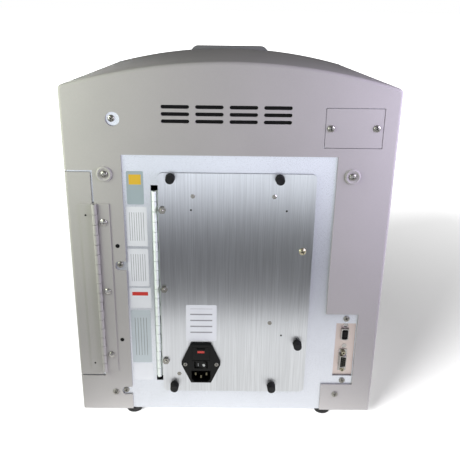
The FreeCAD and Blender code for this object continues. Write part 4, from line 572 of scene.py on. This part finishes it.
def placed(name, fastener, places, material, body, turn=math.pi):
    """One mesh that holds a fastener at each place."""
    tree = bpy.data.node_groups.get("Fasteners_on_points") or placing_tree()
    source = bpy.data.objects.new(name + "_source", fastener)
    points = bpy.data.meshes.new(name + "_points")
    points.from_pydata([tuple(v * MM for v in place) for place in places], [], [])
    holder = bpy.data.objects.new(name + "_holder", points)
    for item in (source, holder):
        bpy.context.scene.collection.objects.link(item)
    modifier = holder.modifiers.new("Fasteners", "NODES")
    modifier.node_group = tree
    sockets = {item.name: item.identifier
               for item in tree.interface.items_tree if item.in_out == "INPUT"}
    for label, value in (("Fastener", source), ("Finish", material), ("Largest turn", turn)):
        modifier[sockets[label]] = value
    mesh = evaluated(holder)
    mesh.name = name
    for item in (source, holder):
        bpy.data.objects.remove(item)
    new_piece(name, mesh, material, body)


# Measures in millimetres; a pair is a place sideways and its height

PANEL_SCREWS = ((145.4, 34.2), (-142.7, 33.0), (-113.0, 385.0), (-164.4, 385.6))
PLATE_SCREWS = ((131.5, 215.9), (132.2, 36.1), (132.9, 393.2), (-149.8, 144.3), (-151.0, 53.2))
INLET_SCREWS = ((13.7, 79.2), (53.7, 79.2))
INLET_SEAT = 3.6
CUP_SCREWS = (144.0, -141.5)
CUP_SEAT = 0.9
HINGE_SEAT = 1.2
HINGE_PITCH = 90
HEAD_MARGIN = 4.2
FLUSH_STUDS = ((42.5, 304.2), (-52.4, 304.5), (-52.9, 138.3), (62.0, 62.7))
LOCK_DEPTH = 0.9
NUT_HEIGHT = 3
NUT_PITCH = 102.3
NUT_MARGIN = 4
# Pin holes and sockets below are flat dark discs: painted shade in place of hollows.
DOOR_PIN_HOLES = ((44.9, 287.2), (-67.6, 287.2), (-67.9, 120.7))
LEAF_PIN_HOLES = ((167.3, 281.5), (168.7, 81.7))
SOCKET_SHADES = ((133.1, 240.9), (133.7, 112.6))
JACK_RISE = 12.5
PIN_PITCH = 2.76
PIN_ROW = 1.4
CUPS = 12
NUMBER_RISE = 38
NUMBER_RADIUS = 58


# Operators


def settings(context):
    scene = context.scene
    return scene.analyzer_colours, scene.analyzer_sizes, scene.analyzer_stage


finishes = {}


def screws(name, size, places, body):
    """Cross-recess screws, and dark crosses of painted shade in their recesses, turned alike."""
    head, floor = cross_screw(name, *size)
    placed(name, head, places, finishes["screw_steel"], body)
    # Painted shade: a dark cross in each screw's recess.
    placed(name + "_recesses", floor, places, finishes["dark_recess"], body)


def sticker(name, x, z, face, thick, finish, body, upright=False):
    """A thin label with rounded corners; upright turns its ruled lines upright."""
    low_x, high_x, low_z, high_z = (v * MM for v in (*x, *z))
    shape = slab((low_x, high_x), (face - thick / 4, face + thick), (low_z, high_z), 1.6 * MM, 4)
    layer = shape.loops.layers.uv.new("Sticker")
    for corner in (loop for side in shape.faces for loop in side.loops):
        across = (high_x - corner.vert.co.x) / (high_x - low_x)
        up = (corner.vert.co.z - low_z) / (high_z - low_z)
        corner[layer].uv = (up, across) if upright else (across, up)
    new_piece(name, to_mesh(shape, name), finish, body)


class ANALYZER_OT_finishes(bpy.types.Operator):
    """Give every carried-over part the finish of its material slot"""

    bl_idname = "analyzer.finishes"
    bl_label = "Dress the parts"

    def execute(self, context):
        colours = settings(context)[0]
        finishes.update(all_finishes(colours))
        slots = {entry["node"]: entry["material_slot"] for entry in frame["record"]["subparts"]}
        slots.update(rear_hinge_fixed_leaf="hinge_metal", rear_hinge_door_leaf="hinge_metal",
                     door_nuts="screw_steel", inlet_pins="contact_metal")
        for name, part in frame["nodes"].items():
            part.data.materials.clear()
            part.data.materials.append(finishes[slots[name]])
        return {"FINISHED"}


class ANALYZER_OT_screws(bpy.types.Operator):
    """Set the small screws, flush studs, and dark discs of painted shade for pin holes and sockets
    on the back
    """

    bl_idname = "analyzer.screws"
    bl_label = "Add small fasteners"

    def execute(self, context):
        sizes = settings(context)[1]
        panel = face_of("outer_cover") / MM
        plate = face_of("chassis_plate") / MM
        door = face_of("service_door") / MM
        self.cross_screws(sizes, panel, plate, door)
        self.door_fasteners(sizes, door)
        self.small_holes(sizes, panel, door, face_of("side_hinge_fixed_leaf") / MM)
        return {"FINISHED"}

    def cross_screws(self, sizes, panel, plate, door):
        screws("Panel_corner_screws", (sizes.pan_radius, sizes.pan_height, sizes.recess),
               at(panel, *PANEL_SCREWS) + at(plate, *PLATE_SCREWS), "cabinet")
        low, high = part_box("cup_washers")
        cup_height = (low.z + high.z) / 2 / MM
        low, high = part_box("panel_screws")
        hinge_x = high.x / MM - HEAD_MARGIN
        first = low.z / MM + HEAD_MARGIN
        hinge = [(hinge_x, panel + HINGE_SEAT, first + HINGE_PITCH * step) for step in range(3)]
        cups = [(x, panel + CUP_SEAT, cup_height) for x in CUP_SCREWS]
        screws("Hinge_and_cup_screws", (4.1 * MM, 2.2 * MM, sizes.recess), hinge + cups, "cabinet")
        screws("Inlet_screws", (2.6 * MM, 1.5 * MM, sizes.recess * 0.8),
               at(door + INLET_SEAT, *INLET_SCREWS), "service_door")

    def door_fasteners(self, sizes, door):
        radius = sizes.flush_radius
        stud = to_mesh(turned([
            (0, -0.2 * MM), (radius, -0.2 * MM), (radius, 0.25 * MM), (radius * 0.86, 0.45 * MM),
            (radius * 0.5, 0.45 * MM), (radius * 0.44, 0.15 * MM), (0, 0.15 * MM)], 6), "Flush_stud")
        placed("Flush_studs", stud, at(door, *FLUSH_STUDS), finishes["screw_steel"],
               "service_door", turn=0.4)
        low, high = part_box("door_lock_screw")
        # Painted shade: a dark cross on the lock screw's head stands for the shade in a recess.
        cross = cross_screw("Lock_screw", (high.x - low.x) / 2, 2 * MM, sizes.recess)[1]
        middle = ((low.x + high.x) / 2 / MM, high.y / MM - LOCK_DEPTH, (low.z + high.z) / 2 / MM)
        placed("Lock_screw_recess", cross, [middle], finishes["dark_recess"],
               "service_door", turn=0.5)
        low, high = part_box("door_nuts")
        across = (low.x + high.x) / 2 / MM
        bottom = low.z / MM + NUT_MARGIN
        end = to_mesh(turned(mm((0, -0.2), (2, -0.2), (2, 0.9), (1.5, 1.3), (0, 1.3)), 20),
                      "Stud_end", 35)
        placed("Stud_ends", end,
               [(across, door + NUT_HEIGHT, bottom + NUT_PITCH * step) for step in range(3)],
               finishes["screw_steel"], "service_door")

    def small_holes(self, sizes, panel, door, leaf):
        dark = finishes["dark_recess"]
        # Painted shade: flat dark discs stand for the shade inside the pin holes.
        hole_shade_disc = to_mesh(turned(disc(sizes.small_hole, -0.1 * MM, 0.06 * MM), 20), "Pin_hole")
        placed("Door_pin_holes", hole_shade_disc, at(door, *DOOR_PIN_HOLES), dark,
               "service_door")
        placed("Leaf_pin_holes", hole_shade_disc, at(leaf, *LEAF_PIN_HOLES), dark,
               "reagent_door")
        # Painted shade: flat dark rings stand for the shade inside the recessed sockets.
        radius = sizes.socket_radius
        socket_shade_disc = to_mesh(turned([
            (0, -0.1 * MM), (radius, -0.1 * MM), (radius, 0.1 * MM), (radius * 0.8, 0.1 * MM),
            (radius * 0.74, 0.02 * MM), (0, 0.02 * MM)], 24), "Socket_rim")
        placed("Dark_sockets", socket_shade_disc, at(panel, *SOCKET_SHADES), dark, "cabinet")


class ANALYZER_OT_labels(bpy.types.Operator):
    """Stick the plain labels on the chassis plate and the service door"""

    bl_idname = "analyzer.labels"
    bl_label = "Add plain labels"

    def execute(self, context):
        thick = settings(context)[1].label_thickness
        plate = face_of("chassis_plate")
        door = face_of("service_door")
        for name, x, z, finish, upright in (
                ("Tab_label", (99.8, 119.4), (292.8, 333.0), "grey_label", False),
                ("Upper_label", (97.0, 121.6), (240.0, 290.0), "text_label", True),
                ("Middle_label", (97.0, 122.0), (186.8, 236.6), "text_label", True),
                ("Band_label", (95.3, 122.4), (156.8, 184.6), "band_label", False),
                ("Clear_label", (97.0, 121.8), (78.0, 153.6), "close_label", True),
                ("Lower_label", (96.0, 122.0), (51.3, 76.3), "plain_label", False)):
            sticker(name, x, z, plate, thick, finishes[finish], "cabinet", upright)
        sticker("Fuse_label", (14.0, 52.4), (111.8, 162.7), door, thick,
                finishes["fuse_label"], "service_door")
        return {"FINISHED"}


class ANALYZER_OT_ports(bpy.types.Operator):
    """Fit the insides of the ports, the fuse window and the marks on the rocker"""

    bl_idname = "analyzer.ports"
    bl_label = "Finish the ports"

    def execute(self, context):
        self.serial()
        self.data()
        self.inlet()
        return {"FINISHED"}

    def serial(self):
        low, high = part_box("serial_port")
        x = (low.x + high.x) / 2
        z = (low.z + high.z) / 2
        face = high.y
        half, up, taper = 3.4 * MM, 7.7 * MM, 1.0 * MM
        outline = [(x - half, z - up + taper), (x + half, z - up),
                   (x + half, z + up), (x - half, z + up - taper)]
        self.insert("Serial_core", prism(outline, face - 1 * MM, face + 0.08 * MM))
        pin = to_mesh(turned(mm((0, -0.2), (0.45, -0.2), (0.45, 0.2), (0, 0.3)), 10), "Pin")
        places = [(x / MM + PIN_ROW, face / MM, z / MM + PIN_PITCH * (step - 2))
                  for step in range(5)]
        places += [(x / MM - PIN_ROW, face / MM, z / MM + PIN_PITCH * (step - 1.5))
                   for step in range(4)]
        placed("Serial_pins", pin, places, finishes["contact_metal"], "cabinet")
        washer = 0.8
        base = face_of("port_bracket") / MM + washer
        hexagon = to_mesh(turned(mm(
            (0, 0), (2.85, 0), (2.85, 4.4), (2.4, 4.9), (1.4, 4.9), (1.3, 4.8), (0, 4.8)), 6),
            "Jack_screw")
        jacks = [(x / MM, base, z / MM + side * JACK_RISE) for side in (-1, 1)]
        placed("Jack_screws", hexagon, jacks, finishes["brass_plate"], "cabinet",
               turn=0.5)
        # Painted shade: a dark disc on each jack screw stands for the shade in its threaded bore.
        bore_shade_disc = to_mesh(turned(disc(1.25 * MM, 4.7 * MM, 4.95 * MM), 16), "Bore")
        placed("Jack_bores", bore_shade_disc, jacks, finishes["dark_recess"], "cabinet")
        ring = turned(disc(3.0 * MM, -0.1 * MM, 0.25 * MM, 1.6 * MM), 24)
        placed("Bracket_rings", to_mesh(ring, "Plain_ring", 35),
               [(x / MM - 0.8, base - washer, 133.9), (x / MM - 0.9, base - washer, 104.0)],
               finishes["bright_steel"], "cabinet")

    def data(self):
        low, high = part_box("data_port")
        x = (low.x + high.x) / 2
        z = (low.z + high.z) / 2
        back = low.y + 0.9 * MM
        half, up = 3.75 * MM, 6.95 * MM
        self.insert("Data_core", slab(
            (x - half, x + half), (back, back + 1.4 * MM), (z - up, z + up), 1.5 * MM, 1))
        half, up = 1.75 * MM, 4.15 * MM
        self.insert("Data_tongue", slab(
            (x - half, x + half), (back, high.y - 0.4 * MM), (z - up, z + up)))

    def insert(self, name, shape):
        new_piece(name, to_mesh(shape, name), finishes["black_plastic"], "cabinet")

    def inlet(self):
        low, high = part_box("fuse_cover")
        x = (low.x + high.x) / 2
        pane = slab((x - 4.45 * MM, x + 4.45 * MM), (high.y - 0.9 * MM, high.y - 0.3 * MM),
                    (high.z - 8.45 * MM, high.z - 5.05 * MM))
        new_piece("Fuse_pane", to_mesh(pane, "Fuse_pane"), finishes["red_pane"], "fuse_cover")
        low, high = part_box("rocker_switch")
        x = (low.x + high.x) / 2
        z = (low.z + high.z) / 2
        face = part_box("inlet_body")[1].y
        on = slab((-0.25 * MM, 0.25 * MM), (-0.05 * MM, 0.06 * MM), (-2 * MM, 2 * MM))
        self.mark("On_mark", on, -4.1, (x + 3.6 * MM, face - 1.25 * MM, z))
        off = turned(disc(1.8 * MM, -0.05 * MM, 0.06 * MM, 1.4 * MM), 24)
        self.mark("Off_mark", off, -17.4, (x - 3.6 * MM, face + 0.14 * MM, z))

    def mark(self, name, shape, lean, place):
        turn = Matrix.Translation(place) @ Matrix.Rotation(math.radians(lean), 4, "Z")
        bmesh.ops.transform(shape, matrix=turn, verts=shape.verts)
        new_piece(name, to_mesh(shape, name), finishes["white_mark"], "rocker")


class ANALYZER_OT_numbers(bpy.types.Operator):
    """Print a plain position number beside each cup hole of the carousel"""

    bl_idname = "analyzer.numbers"
    bl_label = "Number the carousel"

    def execute(self, context):
        sizes = settings(context)[1]
        low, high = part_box("carousel")
        axis = (low + high) / 2
        centre = Matrix.Translation((axis.x, axis.y, low.z + NUMBER_RISE * MM))
        outward = Matrix.Translation((0, NUMBER_RADIUS * MM, 0))
        whole = bmesh.new()
        for count in range(CUPS):
            text = bpy.data.curves.new(f"Number_{count + 1}", "FONT")
            text.body = str(count + 1)
            text.size = sizes.number_height
            text.align_x = "CENTER"
            text.align_y = "CENTER"
            text.extrude = 0.05 * MM
            text.resolution_u = 3
            shape = bpy.data.objects.new(text.name, text)
            context.scene.collection.objects.link(shape)
            flat = evaluated(shape)
            turn = Matrix.Rotation(math.radians(-360 / CUPS * count), 4, "Z")
            flat.transform(centre @ turn @ outward)
            whole.from_mesh(flat)
            bpy.data.objects.remove(shape)
        new_piece("Carousel_numbers", to_mesh(whole, "Carousel_numbers"),
                  finishes["number_ink"], "carousel")
        return {"FINISHED"}


class ANALYZER_OT_stage(bpy.types.Operator):
    """Set up the pale studio, the lamps and the camera"""

    bl_idname = "analyzer.stage"
    bl_label = "Set the stage"

    def execute(self, context):
        stage = settings(context)[2]
        self.camera(context, stage)
        self.room(context, stage)
        self.lamps(context, stage)
        context.scene.view_settings.view_transform = "Standard"
        return {"FINISHED"}

    def camera(self, context, stage):
        lens = bpy.data.cameras.new("Camera")
        lens.lens = stage.focal
        lens.sensor_width = 36
        lens.clip_start = 0.01
        camera = bpy.data.objects.new("Camera", lens)
        context.scene.collection.objects.link(camera)
        pitch, yaw, roll = (math.radians(v) for v in (stage.pitch, stage.yaw, stage.roll))
        ahead = Vector((math.sin(yaw) * math.cos(pitch), -math.cos(yaw) * math.cos(pitch),
                        -math.sin(pitch)))
        level = ahead.cross(Vector((0, 0, 1))).normalized()
        upright = level.cross(ahead)
        right = math.cos(roll) * level + math.sin(roll) * upright
        up = math.cos(roll) * upright - math.sin(roll) * level
        turn = Matrix((right, up, -ahead)).transposed().to_4x4()
        place = Vector((stage.camera_side, face_of("outer_cover") + stage.camera_back,
                        stage.camera_height))
        camera.matrix_world = Matrix.Translation(place) @ turn
        context.scene.camera = camera

    def room(self, context, stage):
        floor = self.sheet(context, "Floor", stage.floor_reach, (0, 0, 0))
        finish = Finish("Floor_paper", roughness=0.9, specular_ior_level=0.1)
        path = finish.add("ShaderNodeLightPath").outputs
        pale = finish.mix(finish.between(finish.noise(3, 2), 0.3, 0.7), (0.8,) * 3, (0.84,) * 3)
        finish.set("Base Color", finish.mix(path["Is Camera Ray"], (0.1,) * 3, pale))
        reach = finish.add(
            "ShaderNodeVectorMath", {0: finish.place}, operation="LENGTH").outputs["Value"]
        near, far = 0.3, 1.3
        seen, mirrored, thrown = (
            finish.math("MULTIPLY", path[ray], finish.between(reach, *span)) for ray, span in (
                ("Is Camera Ray", (near, far, stage.near_glow, 1.0)),
                ("Is Glossy Ray", (near, far, stage.mirrored, 1.4)),
                ("Is Diffuse Ray", (0.22, 0.44, stage.bounce, 0.12))))
        tint = finish.mix(finish.between(reach, near, far), (1, 0.99, 0.96), (0.92, 0.95, 1))
        finish.set("Emission Color", finish.mix(path["Is Glossy Ray"], (1, 1, 1), tint))
        shown = finish.math("ADD", seen, mirrored)
        finish.set("Emission Strength", finish.math("ADD", shown, thrown))
        floor.data.materials.append(finish.material)
        half = stage.card_depth / 2
        middle = face_of("outer_cover") + stage.card_gap + half
        card = self.sheet(context, "Dark_card", half, (0, middle, 2 * MM), 4)
        finish = Finish("Card_paper", roughness=0.9, specular_ior_level=0.1)
        finish.set("Base Color", finish.mix(finish.noise(5, 2), (0.32,) * 3, (0.35,) * 3))
        card.data.materials.append(finish.material)
        card.visible_camera = card.visible_diffuse = card.visible_shadow = False

    def sheet(self, context, name, half, place, wide=1.0):
        mesh = bpy.data.meshes.new(name)
        corners = [(sx * half * wide, sy * half, 0)
                   for sx, sy in ((-1, -1), (1, -1), (1, 1), (-1, 1))]
        mesh.from_pydata(corners, [], [(0, 1, 2, 3)])
        ground = bpy.data.objects.new(name, mesh)
        context.scene.collection.objects.link(ground)
        ground.location = place
        return ground

    def lamps(self, context, stage):
        world = bpy.data.worlds.new("Studio")
        context.scene.world = world
        world.use_nodes = True
        nodes, link = world.node_tree.nodes, world.node_tree.links.new
        sky = next(n for n in nodes if n.type == "BACKGROUND")
        sky.inputs["Color"].default_value = (1, 1, 1, 1)
        sky.inputs["Strength"].default_value = stage.sky
        seen = nodes.new("ShaderNodeBackground")
        seen.inputs["Color"].default_value = (1, 1, 1, 1)
        seen.inputs["Strength"].default_value = 1
        path = nodes.new("ShaderNodeLightPath")
        shown = nodes.new("ShaderNodeMath")
        shown.operation = "MAXIMUM"
        link(path.outputs["Is Camera Ray"], shown.inputs[0])
        link(path.outputs["Is Transmission Ray"], shown.inputs[1])
        blend = nodes.new("ShaderNodeMixShader")
        link(shown.outputs[0], blend.inputs[0])
        link(sky.outputs[0], blend.inputs[1])
        link(seen.outputs[0], blend.inputs[2])
        link(blend.outputs[0], next(n for n in nodes if n.type == "OUTPUT_WORLD").inputs["Surface"])
        back = face_of("outer_cover")
        floor = [bpy.data.objects["Floor"]]
        bright = ("Plated_steel", "Screw_steel", "Passivated_brass", "Hinge_metal")
        metal = [part for part in bpy.data.objects if part.data and part.type == "MESH"
                 and any(name.startswith(bright) for name in part.data.materials.keys())]
        left, right = tone(247, 255, 236), tone(234, 226, 255)
        for name, watts, tint, place, size, things, state in (
                ("Left_lamp", stage.key, left,
                 (0.4, back + 0.17, 0.45), (0.3, 0.4), floor, "EXCLUDE"),
                ("Right_lamp", stage.fill, right,
                 (-0.4, back + 0.17, 0.45), (0.3, 0.4), floor, "EXCLUDE"),
                ("Front_lamp", stage.front, tone(255, 255, 255),
                 (0.5, -1.6, 0.2), (1.0, 0.4), floor, "EXCLUDE"),
                ("Left_glint", stage.glint, left,
                 (0.5, back + 0.35, 0.5), (0.2, 0.2), metal, "INCLUDE"),
                ("Right_glint", stage.glint, right,
                 (-0.5, back + 0.35, 0.5), (0.2, 0.2), metal, "INCLUDE")):
            light = bpy.data.lights.new(name, "AREA")
            light.shape = "RECTANGLE"
            light.size, light.size_y = size
            light.energy = watts
            light.color = tint
            lamp = self.hung(context, name, light, Vector(place), Vector((0, back, place[2])))
            lamp.visible_glossy = name not in ("Left_lamp", "Right_lamp")
            self.linked(lamp, things, state)
        light = bpy.data.lights.new("Floor_lamp", "SUN")
        light.energy = stage.sun
        light.angle = math.radians(28)
        lamp = self.hung(context, "Floor_lamp", light, Vector((1, 0.96, 0.56)), Vector((0, 0, 0)))
        self.linked(lamp, floor, "INCLUDE")

    def hung(self, context, name, light, place, target):
        lamp = bpy.data.objects.new(name, light)
        context.scene.collection.objects.link(lamp)
        turn = (target - place).to_track_quat("-Z", "Y").to_matrix().to_4x4()
        lamp.matrix_world = Matrix.Translation(place) @ turn
        return lamp

    def linked(self, lamp, things, state):
        """The lamp lights only these things, or all but these."""
        lit = bpy.data.collections.new(lamp.name + "_receivers")
        for thing in things:
            lit.objects.link(thing)
        lamp.light_linking.receiver_collection = lit
        for entry in lit.collection_objects:
            entry.light_linking.link_state = state


class ANALYZER_PT_panel(bpy.types.Panel):
    """Sidebar panel that lists the steps"""

    bl_label = "Analyzer"
    bl_space_type = "VIEW_3D"
    bl_region_type = "UI"
    bl_category = "Analyzer"

    def draw(self, context):
        for step in STEPS:
            self.layout.operator(step.bl_idname)
        for group in settings(context):
            column = self.layout.column(align=True)
            for name in group.bl_rna.properties.keys():
                if name not in ("rna_type", "name"):
                    column.prop(group, name)


STEPS = (ANALYZER_OT_finishes, ANALYZER_OT_screws, ANALYZER_OT_labels, ANALYZER_OT_ports,
         ANALYZER_OT_numbers, ANALYZER_OT_stage)
GROUPS = {"analyzer_colours": AnalyzerColours, "analyzer_sizes": AnalyzerSizes,
          "analyzer_stage": AnalyzerStage}


def register():
    for item in (*GROUPS.values(), *STEPS, ANALYZER_PT_panel):
        bpy.utils.register_class(item)
    for name, group in GROUPS.items():
        setattr(bpy.types.Scene, name, bpy.props.PointerProperty(type=group))


def unregister():
    for name in GROUPS:
        delattr(bpy.types.Scene, name)
    for item in reversed((*GROUPS.values(), *STEPS, ANALYZER_PT_panel)):
        bpy.utils.unregister_class(item)


def main():
    register()
    for step in STEPS:
        group, name = step.bl_idname.split(".")
        getattr(getattr(bpy.ops, group), name)()


if __name__ == "__main__":
    main()
